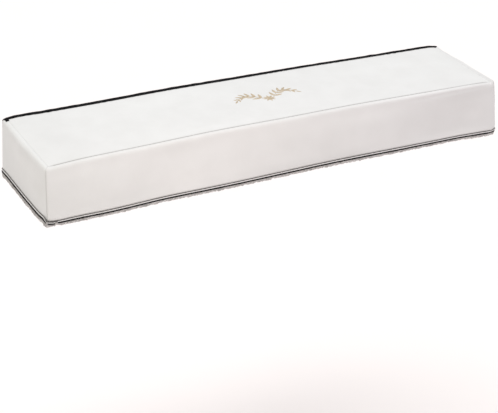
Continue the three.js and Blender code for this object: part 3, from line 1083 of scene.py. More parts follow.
@dataclass
class HangingPanel:
    """A panel that is sewn to the top, rolls over the rim and hangs to the hem."""

    name: str
    node: str
    side: Side
    sways: tuple[Ripples, ...]
    creases: tuple[Crease, ...] = ()
    # Soft places of painted shade and painted highlights
    painted_shade_and_highlights: tuple[Tone, ...] = ()
    seam_mark: float = SEWING.end_mark
    # How strongly and how evenly the painted shade along the top seam runs
    mark_level: float = 0.92
    mark_range: Pair = (0.45, 1.0)
    uneven: Ripples = Ripples(61, 0.03, 0.12, 0.16, spread=0.2)
    # How much painted shade the corner seams get
    corner_painted_shade: float = 0.10
    corner_groove: float = 0.25
    groove_start: float = 0.002
    rim_swell: float = 1.3
    sway_from: Pair = (0.004, 0.03)
    end_sway: float = 0.25
    end_sway_reach: float = 0.05
    braid_free: Pair = (0.001, 0.030)
    step: float = 0.004
    rows: ClothRows = ClothRows()

    def surface(self) -> Skin:
        """Works out the panel's surface.

        Returns:
            The whole skin.
        """
        walk = FORM.walk(self.side, self.step)
        rows = self.rows
        turn = np.array(rows.rolled)[None] / rows.rolled[-1]
        fall = np.linspace(0, 1, rows.fall_count + 1)[None, 1:]
        seam = FORM.seam_height(walk.x, walk.y)
        rim_out, rim_up = FORM.rim(walk, turn)
        rim_out = rim_out + FORM.wall_out(walk, 0.0) * turn**self.rim_swell
        hang_out, hang_up = FORM.rim(walk, 1.0)
        wall_out = hang_out + FORM.wall_out(walk, fall)
        wall_height = mix(seam + hang_up, FORM.braid_top(walk)[1], fall)
        out, height = side_by_side(rim_out, wall_out), side_by_side(seam + rim_up, wall_height)
        out, height = self.relaxed(*self.behind_braid(walk, out, height))
        lean = side_by_side(turn, np.ones((1, out.shape[1] - turn.shape[1]))) * math.pi / 2
        fallen = summed(np.hypot(np.diff(out, axis=1), np.diff(height, axis=1)))
        push = self.stand_out(walk, fallen, out)
        out, height = out + push * np.sin(lean), height + push * np.cos(lean)
        # Painted shade along the top seam and the corner seams, and the soft places of painted shade and
        # painted highlights
        level = self.mark_level + self.uneven.at(walk.along, 0 * walk.along)
        mark = self.seam_mark * np.clip(level, *self.mark_range) * SEWING.fading(walk.straight)
        corner = self.corner_painted_shade * SEWING.painted_shading(FORM.from_corner(walk, out))
        painted_shading = np.maximum(mark * SEWING.painted_shading(fallen), corner)
        painted_shading = painted_shading + sum(tone.at(walk.along, fallen) for tone in self.painted_shade_and_highlights)
        return self.finished(walk, out, height, fallen, painted_shading)

    def behind_braid(self, walk: Walk, out: Array, height: Array) -> tuple[Array, Array]:
        """Carries the cloth down behind the braid.

        Args:
            walk: The places along the seam.
            out: How far out each point is, down to the top of the braid.
            height: How high it is.

        Returns:
            Both, down to the lower edge of the braid.
        """
        slant_out, slant_up = FORM.hem_slant(walk)
        down = np.array(self.rows.down)[None]
        out = side_by_side(out, out[:, -1:] - down * slant_out)
        return out, side_by_side(height, height[:, -1:] - down * slant_up)

    def relaxed(self, out: Array, height: Array) -> tuple[Array, Array]:
        """Softens the turns of the hanging line below the rolled edge.

        Args:
            out: How far out each point is.
            height: How high it is.

        Returns:
            Both, softened.
        """
        first, last = self.rows.kept_above, out.shape[1] - self.rows.kept_below
        for _ in range(self.rows.softenings):
            for line in (out, height):
                beside = line[:, first - 1 : last - 1] + line[:, first + 1 : last + 1]
                line[:, first:last] = (beside + 2 * line[:, first:last]) / 4
        return out, height

    def swayed(self, walk: Walk, fallen: Array, share: Any) -> Array:
        """Works out how far sways and creases push the cloth.

        Args:
            walk: The places along the seam.
            fallen: How far down the cloth each point is.
            share: How free the cloth is to sway there.

        Returns:
            How far each point stands out.
        """
        push = sum(sway.at(walk.along, fallen) for sway in self.sways) * share
        push = push + sum(crease.at(walk.along, fallen) for crease in self.creases)
        return push * self.off_braid(fallen)

    def stand_out(self, walk: Walk, fallen: Array, out: Array) -> Array:
        """Works out how far sways, creases, puckers and seams push the cloth off its plain form.

        Args:
            walk: The places along the seam.
            fallen: How far down the cloth each point is.
            out: How far out it is.

        Returns:
            How far each point stands out.
        """
        calm = mix(self.end_sway, 1, ease(0, self.end_sway_reach, walk.straight))
        push = self.swayed(walk, fallen, ease(*self.sway_from, fallen) * calm)
        push = push + SEWING.puckered(walk.along + walk.along[-1, 0], fallen)
        seam = SEWING.drawing(self.seam_mark * SEWING.fading(walk.straight)) * SEWING.groove(fallen)
        corner = self.corner_groove * SEWING.groove(FORM.from_corner(walk, out))
        return push - seam - corner * (1 - np.exp(-fallen / self.groove_start))

    def off_braid(self, fallen: Array) -> Array:
        """Returns how free the cloth is to sway: not at all behind the braid, and fully above it."""
        low, high = (FORM.braid_height + free for free in self.braid_free)
        return ease(low, high, fallen[:, -1:] - fallen)

    def finished(self, walk: Walk, out: Array, height: Array, fallen: Array, painted_shading: Array) -> Skin:
        """Adds the seam allowances and the turned-up hem, and places all points.

        Args:
            walk: The places along the seam.
            out: How far out each point is.
            height: How high it is.
            fallen: How far down the cloth it is.
            painted_shading: How much painted shade it has, with painted highlights below zero.

        Returns:
            The whole skin.
        """
        rows = self.rows
        up, raised = np.array(rows.allowance)[None], np.array(rows.turned_up)[None]
        top_out, top_height = out[:, :1] + 0 * up, height[:, :1] - up
        slant_out, slant_up = FORM.hem_slant(walk)
        angle = np.linspace(0, math.pi, rows.turn_steps + 1)[None, 1:]
        radius = rows.turn_radius
        inward = side_by_side(radius * (1 - np.cos(angle)), 2 * radius + 0 * raised)
        lower = side_by_side(radius * np.sin(angle), -raised)
        hem_out = out[:, -1:] - inward * slant_up - lower * slant_out
        hem_height = height[:, -1:] + inward * slant_out - lower * slant_up
        under = side_by_side(radius * angle, math.pi * radius + raised)
        out = side_by_side(top_out, out, hem_out)
        height = side_by_side(top_height, height, hem_height)
        fallen = side_by_side(-up + 0 * walk.x, fallen, fallen[:, -1:] + under)
        # The seam allowance gets full painted shade, and the turned-up hem none
        painted_shading = side_by_side(1 + 0 * top_out, painted_shading, 0 * hem_out)
        gap = np.zeros_like(walk.x)
        gap[0], gap[-1] = SEWING.gap, -SEWING.gap
        gap = gap + FORM.corner_slide * FORM.front_left(walk) * ease(0.0, FORM.slide_fall, fallen)
        points = walk.placed(out, height, gap)
        cut = np.stack([walk.along + 0 * out, -fallen], axis=-1)
        return self.with_corner_allowance(walk, Skin(points[:, ::-1], cut[:, ::-1], painted_shading[:, ::-1]))

    @staticmethod
    def with_corner_allowance(walk: Walk, skin: Skin) -> Skin:
        """Adds the cloth that is turned in behind the two corner seams, and droops under the top.

        Args:
            walk: The places along the seam.
            skin: The panel's skin.

        Returns:
            The skin with a few columns more at each end.
        """
        points, cut = skin.points, skin.cut
        columns, flats = [], []
        for end, sign, widths in ((0, -1, SEWING.allowance), (-1, 1, SEWING.allowance[::-1])):
            inward = -np.array([walk.nx[end, 0], walk.ny[end, 0], 0])
            height = points[end, :, 2:]
            droop = -SEWING.droop * ease(*SEWING.droop_from, height - height.max()) * (0, 0, 1)
            columns.append(np.stack([points[end] + (inward + droop) * width for width in widths]))
            flats.append(np.stack([cut[end] + (sign * width, 0) for width in widths]))
        # The turned-in cloth gets full painted shade
        hidden = np.ones((len(SEWING.allowance), points.shape[1]))
        return Skin(
            np.concatenate([columns[0], points, columns[1]]),
            np.concatenate([flats[0], cut, flats[1]]),
            np.concatenate([hidden, skin.painted_shading, hidden]),
        )

    def build(self) -> Piece:
        """Builds and dresses the panel.

        Returns:
            The finished piece.
        """
        skin = self.surface()
        piece = skin.build(self.name)
        return finish_sheet(piece, self.node, COVER_CLOTH)


def finish_sheet(
    piece: Piece,
    node: str,
    finish: ClothFinish,
) -> Piece:
    """Args:
        piece: The sheet as a single skin.
        node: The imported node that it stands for.
        finish: The finish of its right side.

    Returns:
        The same piece.
    """
    dress(piece, finish, COVER_BACKING if finish is COVER_CLOTH else finish)
    wall = {"thickness": SEWING.thickness, "offset": -1, "material_offset": 1, "material_offset_rim": 1}
    apply_modifier(piece, "SOLIDIFY", **wall)
    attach(piece, BODY)
    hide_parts(node)
    return piece


@dataclass
class TopPanel:
    """The top: one rectangle of cloth, drawn down a little into the seam all round."""

    edge: Floats = (
        -0.009, -0.006, -0.003, -0.001, 0, 0.0004, 0.0009, 0.0016, 0.0026, 0.004, 0.006, 0.009, 0.0125,
    )
    step: float = 0.0045
    sway: Ripples = Ripples(3, 0.09, 0.30, 0.00045)
    sway_from: Pair = (0.002, 0.03)
    gathers: Ripples = Ripples(5, 0.013, 0.030, 0.00045, spread=0.7)
    gather_rest: float = 0.25
    gather_places: tuple[Triple, ...] = (
        (-0.555, 0.050, 1.0),
        (-0.400, 0.040, 0.7),
        (-0.190, 0.045, 0.8),
        (0.080, 0.060, 0.4),
        (0.300, 0.050, 0.5),
        (0.500, 0.040, 0.9),
    )
    gather_reach: float = 0.022
    # Soft places of painted shade, and of painted highlights where the strength is below zero
    painted_shade_and_highlights: tuple[Tone, ...] = (
        Tone((-0.600, 0.000), (0.060, 0.200), 0.045),
        Tone((-0.250, 0.085), (0.180, 0.035), -0.040),
        Tone((0.400, 0.060), (0.140, 0.045), -0.030),
        Tone((-0.220, -0.118), (0.140, 0.012), -0.035),
    )

    def height(self, x: Array, y: Array, away: Array, mark: Any = 1.0) -> Array:
        """Works out how high the cloth lies.

        Args:
            x: Where on the top.
            y: Where on the top.
            away: The distance from the nearest seam.
            mark: How strongly that seam marks.

        Returns:
            The height of the cloth there.
        """
        flat = FORM.seam_height(x, y) + self.sway.at(x, y) * ease(*self.sway_from, away)
        gathered = sum(share * bell(x - at, width) for at, width, share in self.gather_places)
        fading = np.exp(-np.abs(FORM.back - y) / self.gather_reach)
        flat = flat + self.gathers.at(x, y) * (self.gather_rest + gathered) * fading
        flat = flat + SEWING.puckered(x + y, away)
        return flat - SEWING.drawing(mark) * SEWING.groove(np.maximum(away, 0)) + np.minimum(away, 0)

    def axis(self, low: float, high: float) -> tuple[Array, Array]:
        """Spaces the grid between two seams.

        Args:
            low: The first seam.
            high: The second seam.

        Returns:
            The places, and the signed distance of each from the nearer seam.
        """
        edge = np.array(self.edge)
        count = max(round((high - low - 2 * edge[-1]) / self.step), 2)
        middle = np.linspace(low + edge[-1], high - edge[-1], count + 1)[1:-1]
        places = np.concatenate([low + edge, middle, high - edge[::-1]])
        return places, np.minimum(places - low, high - places)

    def build(self) -> Piece:
        """Builds and dresses the top.

        Returns:
            The finished piece.
        """
        gap, corner = SEWING.gap, FORM.corner
        across, from_end = self.axis(-FORM.half_length + gap, FORM.half_length - gap)
        deep, from_side = self.axis(FORM.front + gap, FORM.back - gap)
        x, y = np.meshgrid(across, deep, indexing="ij")
        cut = np.stack([x, y], axis=-1)
        end, side = np.meshgrid(from_end, from_side, indexing="ij")
        away = np.minimum(end, side)
        x = np.sign(x) * np.minimum(np.abs(x), FORM.half_length - gap)
        y = np.clip(y, FORM.front + gap, FORM.back - gap)
        reach_x, reach_y = np.clip(corner - end, 0, corner), np.clip(corner - side, 0, corner)
        length = np.maximum(np.hypot(reach_x, reach_y), np.finfo(float).eps)
        rounded = (reach_x > 0) & (reach_y > 0)
        share = np.where(rounded, np.maximum(reach_x, reach_y) / length, 1)
        x = x - np.sign(x) * reach_x * (1 - share)
        y = y - np.sign(y) * reach_y * (1 - share)
        mark = mix(SEWING.end_mark, SEWING.fading(end - corner), ease(-corner, corner, end - side))
        points = np.stack([x, y, self.height(x, y, away, mark)], axis=-1)
        # Painted shade along the seams, and the soft places of painted shade and painted highlights
        painted_shading = SEWING.painted_shading(away) * mark + sum(tone.at(x, y) for tone in self.painted_shade_and_highlights)
        piece = Skin(points, cut, painted_shading).build("top_cloth")
        return finish_sheet(piece, "top_panel", COVER_CLOTH)


@dataclass
class FrontPanel(HangingPanel):
    """The long panel in front, with its soft creases and its painted shade and painted highlights."""

    name: str = "front_cloth"
    node: str = "front_panel"
    side: Side = Side.FRONT
    sways: tuple[Ripples, ...] = (Ripples(41, 0.08, 0.26, 0.0006),)
    creases: tuple[Crease, ...] = (
        Crease((0.03, 0.030), (0.16, 0.150), 0.022, -0.0012),
        Crease((0.20, 0.060), (0.30, 0.150), 0.026, -0.0010),
        Crease((0.34, 0.150), (0.46, 0.060), 0.028, 0.0010),
        Crease((1.29, 0.030), (1.18, 0.150), 0.024, -0.0014),
        Crease((1.02, 0.021), (1.20, 0.017), 0.0045, -0.0014),
        Crease((1.14, 0.018), (1.32, 0.014), 0.0045, -0.0016),
        Crease((0.04, 0.085), (0.24, 0.080), 0.045, 0.0030),
        Crease((0.33, 0.095), (0.46, 0.085), 0.035, 0.0026),
        Crease((0.90, 0.080), (1.08, 0.075), 0.040, 0.0026),
        Crease((1.16, 0.040), (1.30, 0.050), 0.035, 0.0028),
    )
    # Soft places of painted shade, and of painted highlights where the strength is below zero, along the roll
    # and across the panel
    painted_shade_and_highlights: tuple[Tone, ...] = (
        Tone((0.360, 0.026), (0.100, 0.016), 0.045),
        Tone((0.090, 0.036), (0.100, 0.018), -0.050),
        Tone((0.215, 0.128), (0.085, 0.026), 0.070),
        Tone((0.370, 0.130), (0.035, 0.022), -0.045),
        Tone((0.700, 0.142), (0.200, 0.016), 0.080),
        Tone((0.900, 0.042), (0.130, 0.020), -0.075),
        Tone((0.680, 0.045), (0.070, 0.020), -0.030),
        Tone((0.790, 0.108), (0.050, 0.020), 0.035),
        Tone((1.250, 0.075), (0.100, 0.060), 0.040),
        Tone((1.245, 0.026), (0.110, 0.018), 0.065),
        Tone((1.120, 0.006), (0.220, 0.005), -0.110),
        Tone((1.110, 0.085), (0.110, 0.070), 0.045),
        Tone((0.850, 0.085), (0.300, 0.080), 0.022),
        Tone((0.625, 0.090), (0.110, 0.070), 0.022),
        Tone((1.190, 0.141), (0.100, 0.014), -0.080),
        Tone((0.850, 0.141), (0.060, 0.012), 0.055),
        Tone((1.262, 0.088), (0.030, 0.016), -0.045),
        Tone((1.225, 0.120), (0.045, 0.014), 0.030),
    )
    seam_mark: float = 0.85


@dataclass
class RightEndPanel(HangingPanel):
    """The short panel at the right end."""

    name: str = "right_end_cloth"
    node: str = "right_end_panel"
    side: Side = Side.RIGHT
    sways: tuple[Ripples, ...] = (Ripples(43, 0.07, 0.20, 0.0005),)


@dataclass
class LeftEndPanel(HangingPanel):
    """The short panel at the left end."""

    name: str = "left_end_cloth"
    node: str = "left_end_panel"
    side: Side = Side.LEFT
    sways: tuple[Ripples, ...] = (Ripples(53, 0.07, 0.20, 0.0005),)
    # Soft places of painted shade, and of painted highlights where the strength is below zero
    painted_shade_and_highlights: tuple[Tone, ...] = (
        Tone((0.120, 0.058), (0.100, 0.020), -0.045),
        Tone((0.150, 0.142), (0.130, 0.018), 0.080),
        Tone((0.140, 0.020), (0.120, 0.012), 0.030),
    )


@dataclass
class BackPanel(HangingPanel):
    """The panel behind, whose lip stands off behind the black band over the slot."""

    name: str = "back_cloth"
    node: str = "back_panel"
    side: Side = Side.BACK
    sways: tuple[Ripples, ...] = (Ripples(47, 0.08, 0.26, 0.0006),)
    slot_half_length: float = 0.305
    slot_ramp: float = 0.045
    slot_width: float = 0.0135
    slot_sag: float = 0.008
    slot_facing: float = 0.9
    below_band: float = 0.0006
    lip_reach: float = 0.045
    lip_turn: Floats = (0.012, 0.008, 0.004)
    lip_steps: int = 4
    lip_sway: float = 0.3
    lip_sway_reach: float = 0.05
    more_rows: int = 2
    rows: ClothRows = ClothRows(allowance=())

    def surface(self) -> Skin:
        """Works out the panel's surface.

        Returns:
            The whole skin.
        """
        walk = FORM.walk(self.side, self.step)
        fall = np.linspace(0, 1, self.rows.fall_count + self.more_rows + 1)[None]
        rim_out, rim_up = FORM.rim(walk, 1.0)
        top = FORM.seam_height(walk.x, walk.y) + rim_up - self.below_band
        slot = 1 - ease(self.slot_half_length - self.slot_ramp, self.slot_half_length, np.abs(walk.x))
        slot = slot * (walk.ny > self.slot_facing)
        height = mix(top - slot * self.slot_sag, FORM.braid_top(walk)[1], fall)
        out, height = self.behind_braid(walk, rim_out + FORM.wall_out(walk, fall), height)
        fallen = summed(-np.diff(height, axis=1))
        out = out + slot * self.slot_width * bell(fallen, self.lip_reach)
        push = self.swayed(walk, fallen, mix(self.lip_sway, 1, ease(0.0, self.lip_sway_reach, fallen)))
        push = push + SEWING.puckered(walk.along, fallen)
        corner = FORM.from_corner(walk, out)
        out = out + push - self.corner_groove * SEWING.groove(corner)
        # The corner seams get painted shade
        return self.finished(walk, out, height, fallen, self.corner_painted_shade * SEWING.painted_shading(corner))

    def finished(self, walk: Walk, out: Array, height: Array, fallen: Array, painted_shading: Array) -> Skin:
        """Turns the lip in at the top, and then finishes the panel as the others are.

        Args:
            walk: The places along the seam.
            out: How far out each point is.
            height: How high it is.
            fallen: How far down the cloth it is.
            painted_shading: How much painted shade it has.

        Returns:
            The whole skin.
        """
        turn = np.linspace(math.pi, 0, self.lip_steps, endpoint=False)[None]
        radius = self.rows.turn_radius
        lip = np.array(self.lip_turn)[None]
        inward = side_by_side(2 * radius + 0 * lip, radius * (1 - np.cos(turn)))
        raised = side_by_side(-lip, radius * np.sin(turn))
        under = side_by_side(-lip - math.pi * radius, -radius * turn)
        turned_out = out[:, :1] - inward
        out = side_by_side(turned_out, out)
        height = side_by_side(height[:, :1] + raised, height)
        fallen = side_by_side(under + 0 * walk.x, fallen)
        # The turned-in lip gets no painted shade
        painted_shading = side_by_side(0 * turned_out, painted_shading)
        return super().finished(walk, out, height, fallen, painted_shading)


@dataclass
class BlackBand:
    """The black band along the back edge of the top, turned down over the edge."""

    step: float = 0.004
    end_step: float = 0.002
    across: Floats = (
        0, 0.05, 0.10, 0.15, 0.22, 0.30, 0.38, 0.46, 0.54, 0.62, 0.70, 0.78, 0.86, 0.93, 1.0,
    )
    lap: Floats = (0.0048, 0.0042, 0.0022)
    lift: Floats = (0.0004, 0.0014, 0.0019)
    lift_reach: float = 0.008
    lap_facing: Pair = (0.70, 0.98)
    left_lap: float = 0.62
    left_lap_reach: float = 0.09
    right_lap: float = 0.6
    right_lap_from: Pair = (-0.3, 0.5)
    wrap: float = 0.006
    over: float = 0.0008
    end_turn: float = 0.42
    end_headings: Pair = (math.radians(485), math.radians(520))
    corner_groove: float = 0.4
    sway: Ripples = Ripples(23, 0.03, 0.12, 0.0003, spread=0.5)

    def walk(self) -> Walk:
        """Walks the back, and on round its far corner, where the band's end is turned down.

        Returns:
            The places of the walk.
        """
        back, left = FORM.walk(Side.BACK, self.step), FORM.walk(Side.LEFT, self.end_step)
        count = int(((left.straight < self.wrap) & (left.y > 0)).sum())
        columns = {}
        for name in ("x", "y", "heading", "along", "turned", "straight"):
            first, second = getattr(back, name), getattr(left, name)[1:count]
            columns[name] = np.concatenate([first, second + (first[-1] if name == "along" else 0)])
        return Walk(**columns)

    def lifted(self, walk: Walk, reach: Array) -> Array:
        """Returns how far the band stands off the line over the rim, by how far over it is."""
        return self.sway.at(walk.along, reach) + self.lift[-1] * np.exp(-reach / self.lift_reach)

    def lap_share(self, walk: Walk) -> Array:
        """Works out how far the band reaches in over the top.

        Args:
            walk: The places along the seam.

        Returns:
            The share of its full lap, less to the right and at the left end.
        """
        at_end = np.where(walk.x < 0, self.left_lap, 1.0)
        share = mix(at_end, 1.0, ease(0.0, self.left_lap_reach, walk.straight))
        share = share * mix(1.0, self.right_lap, ease(*self.right_lap_from, walk.x))
        return share * ease(*self.lap_facing, walk.ny)

    def build(self) -> Piece:
        """Builds and dresses the band.

        Returns:
            The finished piece.
        """
        walk = self.walk()
        left = ease(*self.end_headings, walk.heading)
        turn = np.array(self.across)[None] * mix(1.0, self.end_turn, left)
        seam = FORM.seam_height(walk.x, walk.y)
        out, up = FORM.rim(walk, turn)
        height = seam + up
        reach = summed(np.hypot(np.diff(out, axis=1), np.diff(height, axis=1)))
        groove = self.corner_groove * SEWING.groove(FORM.from_corner(walk, out))
        height = height + self.lifted(walk, reach) - groove
        over, angle = self.over * left, turn * math.pi / 2
        lap = np.array(self.lap)[None] * self.lap_share(walk)
        height = side_by_side(seam + self.lift, height + over * np.cos(angle))
        out = side_by_side(out[:, :1] - lap, out + over * np.sin(angle))
        reach = side_by_side(-lap, reach)
        points = walk.placed(out, height, np.zeros_like(walk.x))
        cut = np.stack([walk.along + 0 * out, -reach], axis=-1)
        piece = placed_grid("black_band", points[:, ::-1], cut[:, ::-1])
        return finish_sheet(piece, "back_band", BLACK_TAPE)


# Braid and stitches


@dataclass(frozen=True)
class TrimLine:
    """A line round the cover for a trim made straight: its places, and the ways across and off."""

    along: Array
    base: Array
    across: Array
    off: Array

    @property
    def length(self) -> float:
        """The length of the line."""
        return float(self.along[-1])

    def wrap(self, piece: Piece) -> Piece:
        """Lays a straight trim along the line.

        Args:
            piece: A trim along X, with Y across it and Z off the cloth.

        Returns:
            The same piece, in its place.
        """
        straight = vertices_of(piece)

        def read(table: Array) -> Array:
            """Reads a table of points at each vertex's place along the line."""
            return np.stack([np.interp(straight[:, 0], self.along, column) for column in table.T], axis=1)

        points = read(self.base) + straight[:, 1:2] * read(self.across) + straight[:, 2:3] * read(self.off)
        move_vertices(piece, points)
        return piece


@dataclass(frozen=True)
class Twist:
    """A cord or plait of like yarns that wind to and fro as they run."""

    yarns: int
    pitch: float
    centre: float
    reach: float
    off: float
    rise: float
    radius: float
    steps: int
    crossings: int
    lead: float = 0.0
    sides: int = 4

    def build(self, name: str, length: float) -> Piece:
        """Builds the cord from one turn of its yarns.

        Args:
            name: The cord's name.
            length: How long it is.

        Returns:
            The cord, straight along X.
        """
        phase = np.linspace(0, math.tau, self.steps + 1)
        turn = []
        for number in range(self.yarns):
            at = phase + number * math.tau / self.yarns
            across = self.centre + self.reach * np.sin(at + self.lead)
            off = self.off + self.rise * np.sin(self.crossings * at)
            path = np.stack([phase / math.tau * self.pitch, across, off], axis=1)
            turn.append(yarn(f"{name}_{number}", path, self.radius, self.sides))
        return repeated(joined(name, turn), self.pitch, int(length / self.pitch))


@dataclass
class HemBraid:
    """The striped braid sewn round the hem, made straight and then laid along it."""

    gap: float = 0.0003
    step: float = 0.003
    lap: float = 0.014
    lift: float = 0.0027
    lift_before: int = 9
    lift_steps: int = 8
    pinch_facing: Pair = (0.3, 0.9)
    pinches: tuple[Triple, ...] = (
        (-0.661, 0.022, 0.24),
        (0.505, 0.100, 0.10),
        (0.665, 0.015, 0.12),
    )
    tape_thickness: float = 0.0006
    tape_hollow: float = 0.00025
    tape_step: float = 0.004
    tape_rows: Floats = (0.0004, 0.0014, 0.0050, 0.0092, 0.0118, 0.0140, 0.0148)
    stripes: Floats = (0.0011, 0.0082, 0.0127)
    gimp_pitch: float = 0.0030
    gimp_centre: float = 0.0053
    rib_size: Triple = (0.0010, 0.0025, 0.0011)
    rib_apart: float = 0.0018
    rib_off: float = 0.0013
    rib_lean: float = math.radians(32)
    rib_faces: tuple[int, int] = (6, 4)
    plait: Twist = Twist(3, 0.0090, 0.01045, 0.0017, 0.0011, 0.0003, 0.00085, steps=12, crossings=2)
    cord: Twist = Twist(
        2, 0.0050, 0.0134, 0.0005, 0.0009, 0.0003, 0.0007, steps=8, crossings=1, lead=math.pi / 2
    )
    picot_pitch: float = 0.0043
    picot_size: Pair = (0.0011, 0.0004)
    picot_place: Triple = (0.002, 0.0148, 0.0005)
    picot_faces: tuple[int, int] = (8, 3)
    picot_play: Triple = (0.3, 0.12, 0.0002)
    picot_seed: int = 31
    loop_pitch: float = 0.0036
    loop_root: float = 0.0020
    loop_drop: float = 0.0078
    loop_fullness: float = 2.6
    loop_widths: Pair = (0.0006, 0.0009)
    loop_radius: float = 0.00062
    loop_steps: int = 9
    loop_sides: int = 4
    loop_rows: tuple[Pair, ...] = ((0.0006, 0.25), (0.0015, 0.75))
    loop_play: Triple = (0.17, 0.14, 0.0006)
    loop_seed: int = 17
    play_reach: float = 0.004
    play_sizes: Pair = (-0.34, 0.14)
    play_group: int = 3
    play_narrowing: float = 0.5
    whipped: Floats = (0.0015, 0.0036, 0.0058, 0.0245, 0.0267)
    whip_across: Pair = (0.0010, 0.0140)
    whip_off: float = 0.0023
    whip_crown: float = 0.0005
    whip_slant: float = 0.06
    whip_radius: float = 0.0009
    whip_steps: int = 8
    whip_sides: int = 6
    stitch_rows: Pair = (0.0080, 0.0132)
    stitch_off: float = 0.0009
    stitch: StitchRow = StitchRow(0.0042, 0.0029)

    def hem_line(self) -> TrimLine:
        """Works out the line round the hem, from the front left corner and lapped over its start.

        Returns:
            The line, with the way up the cloth across it and the way off the cloth.
        """
        tables = []
        for side in (Side.FRONT, Side.RIGHT, Side.BACK, Side.LEFT, Side.FRONT):
            walk = FORM.walk(side, self.step)
            out, height = FORM.braid_top(walk)
            slant_out, slant_up = FORM.hem_slant(walk)
            across = side_by_side(walk.nx * slant_out, walk.ny * slant_out, slant_up)
            off = side_by_side(walk.nx * slant_up, walk.ny * slant_up, -slant_out)
            top = walk.placed(out, height, np.zeros_like(walk.x))[:, 0]
            base = top - FORM.braid_height * across + self.gap * off
            near = sum(share * bell(walk.x - at, reach) for at, reach, share in self.pinches)
            tables.append((base, across * (1 - near * ease(*self.pinch_facing, -walk.ny)), off))
        lapped = tables[-1][0][:, 0] < -FORM.half_length + self.lap
        tables[-1] = tuple(table[lapped] for table in tables[-1])
        for i in range(1, len(tables)):
            tables[i] = tuple(table[1:] for table in tables[i])
        base, across, off = (np.concatenate(parts) for parts in zip(*tables))
        before_lap = len(base) - len(tables[-1][0])
        steps_in = np.arange(len(base)) - before_lap + self.lift_before
        base = base + np.clip(steps_in / self.lift_steps, 0, 1)[:, None] * self.lift * off
        return TrimLine(path_lengths(base), base, across, off)

    def tape(self, line: TrimLine) -> Piece:
        """Makes the flat tape that carries the braid, hollowed a little along its middle.

        Args:
            line: The line round the hem.

        Returns:
            The tape, with a finish for each stripe.
        """
        along = np.linspace(0, line.length, round(line.length / self.tape_step) + 1)[:, None]
        across = np.sort([*self.tape_rows, *self.stripes])[None]
        hollow = self.tape_hollow * np.cos(across / FORM.braid_height * math.tau)
        off = self.tape_thickness + hollow + 0 * along
        points = np.stack(np.broadcast_arrays(along, across, off), axis=-1)
        piece = placed_grid("braid_tape", points, points[..., :2])
        apply_modifier(piece, "SOLIDIFY", thickness=self.tape_thickness, offset=-1)
        dress(piece, LOOP_YARN, BLACK_GIMP, SILVER_YARN, GREY_YARN)
        for face in piece.data.polygons:
            face.material_index = sum(face.center.y > edge for edge in self.stripes)
        return line.wrap(piece)

    def gimp(self, line: TrimLine) -> Piece:
        """Makes the black gimp: two rows of slanting wrapped ribs that meet in a herringbone.

        Args:
            line: The line round the hem.

        Returns:
            The gimp, laid along it.
        """
        ribs = []
        for sign in (-1, 1):
            place = (self.gimp_pitch / 2, self.gimp_centre + sign * self.rib_apart, self.rib_off)
            turn = Matrix.Rotation(sign * self.rib_lean, 4, "Z") @ Matrix.Diagonal((*self.rib_size, 1))
            ribs.append(ball(f"rib_{sign}", *self.rib_faces, Matrix.Translation(place) @ turn))
        pair = joined("braid_black_gimp", ribs)
        return line.wrap(repeated(pair, self.gimp_pitch, int(line.length / self.gimp_pitch)))

    def picots(self, line: TrimLine) -> Piece:
        """Makes the small uneven picots that stand above the grey cord.

        Args:
            line: The line round the hem.

        Returns:
            The picots, laid along it.
        """
        (ring, thread), (round_ring, round_thread) = self.picot_size, self.picot_faces
        picot = shaped(
            "braid_picots",
            bpy.ops.mesh.primitive_torus_add,
            Matrix.Translation(self.picot_place),
            major_segments=round_ring,
            minor_segments=round_thread,
            major_radius=ring,
            minor_radius=thread,
        )
        repeated(picot, self.picot_pitch, int(line.length / self.picot_pitch))
        self.loosen(picot, self.picot_pitch, self.picot_place[1], self.picot_play, self.picot_seed)
        return line.wrap(picot)

    def loops(self, line: TrimLine) -> Piece:
        """Makes the yarn loops that hang below the braid in two rows, each a little different.

        Args:
            line: The line round the hem.

        Returns:
            The loops, laid along it.
        """
        share = np.linspace(-1, 1, self.loop_steps)
        down = 1 - np.abs(share) ** self.loop_fullness
        root_width, swell = self.loop_widths
        spread = np.sign(share) * (root_width + swell * np.sin(np.abs(share) * math.pi))
        path = np.stack([spread, mix(self.loop_root, -self.loop_drop, down), 0 * share], axis=1)
        rows = []
        for number, (off, start) in enumerate(self.loop_rows):
            place = (start * self.loop_pitch, 0, off)
            loop = yarn(f"loop_row_{number}", path + place, self.loop_radius, self.loop_sides)
            repeated(loop, self.loop_pitch, int(line.length / self.loop_pitch) - 1)
            self.loosen(loop, self.loop_pitch, 0, self.loop_play, self.loop_seed + number)
            rows.append(loop)
        return line.wrap(joined("braid_loops", rows))

    def loosen(self, piece: Piece, pitch: float, root: float, play: Triple, seed: int) -> None:
        """Tilts, stretches and shifts each copy in a row by a little.

        Args:
            piece: A row of copies along X.
            pitch: How far apart they are.
            root: The height that they hang from or stand on.
            play: The spread of the tilt, of the length and of the shift off the cloth.
            seed: The seed of the unevenness.
        """
        points = vertices_of(piece)
        number = np.floor(points[:, 0] / pitch).astype(int)
        dice = np.random.default_rng(seed)
        count = number.max() + 2
        group = number // self.play_group
        tilt, size, shift = (
            dice.normal(0, spread, count)[number] + dice.normal(0, spread, count)[group] for spread in play
        )
        middle = (number + 0.5) * pitch
        reach = points[:, 1] - root
        points[:, 2] += shift * np.clip(np.abs(reach) / self.play_reach, 0, 1)
        points[:, 0] = middle + (points[:, 0] - middle) * (1 - self.play_narrowing * size) - tilt * reach
        points[:, 1] = root + reach * (1 + np.clip(size, *self.play_sizes))
        move_vertices(piece, points)

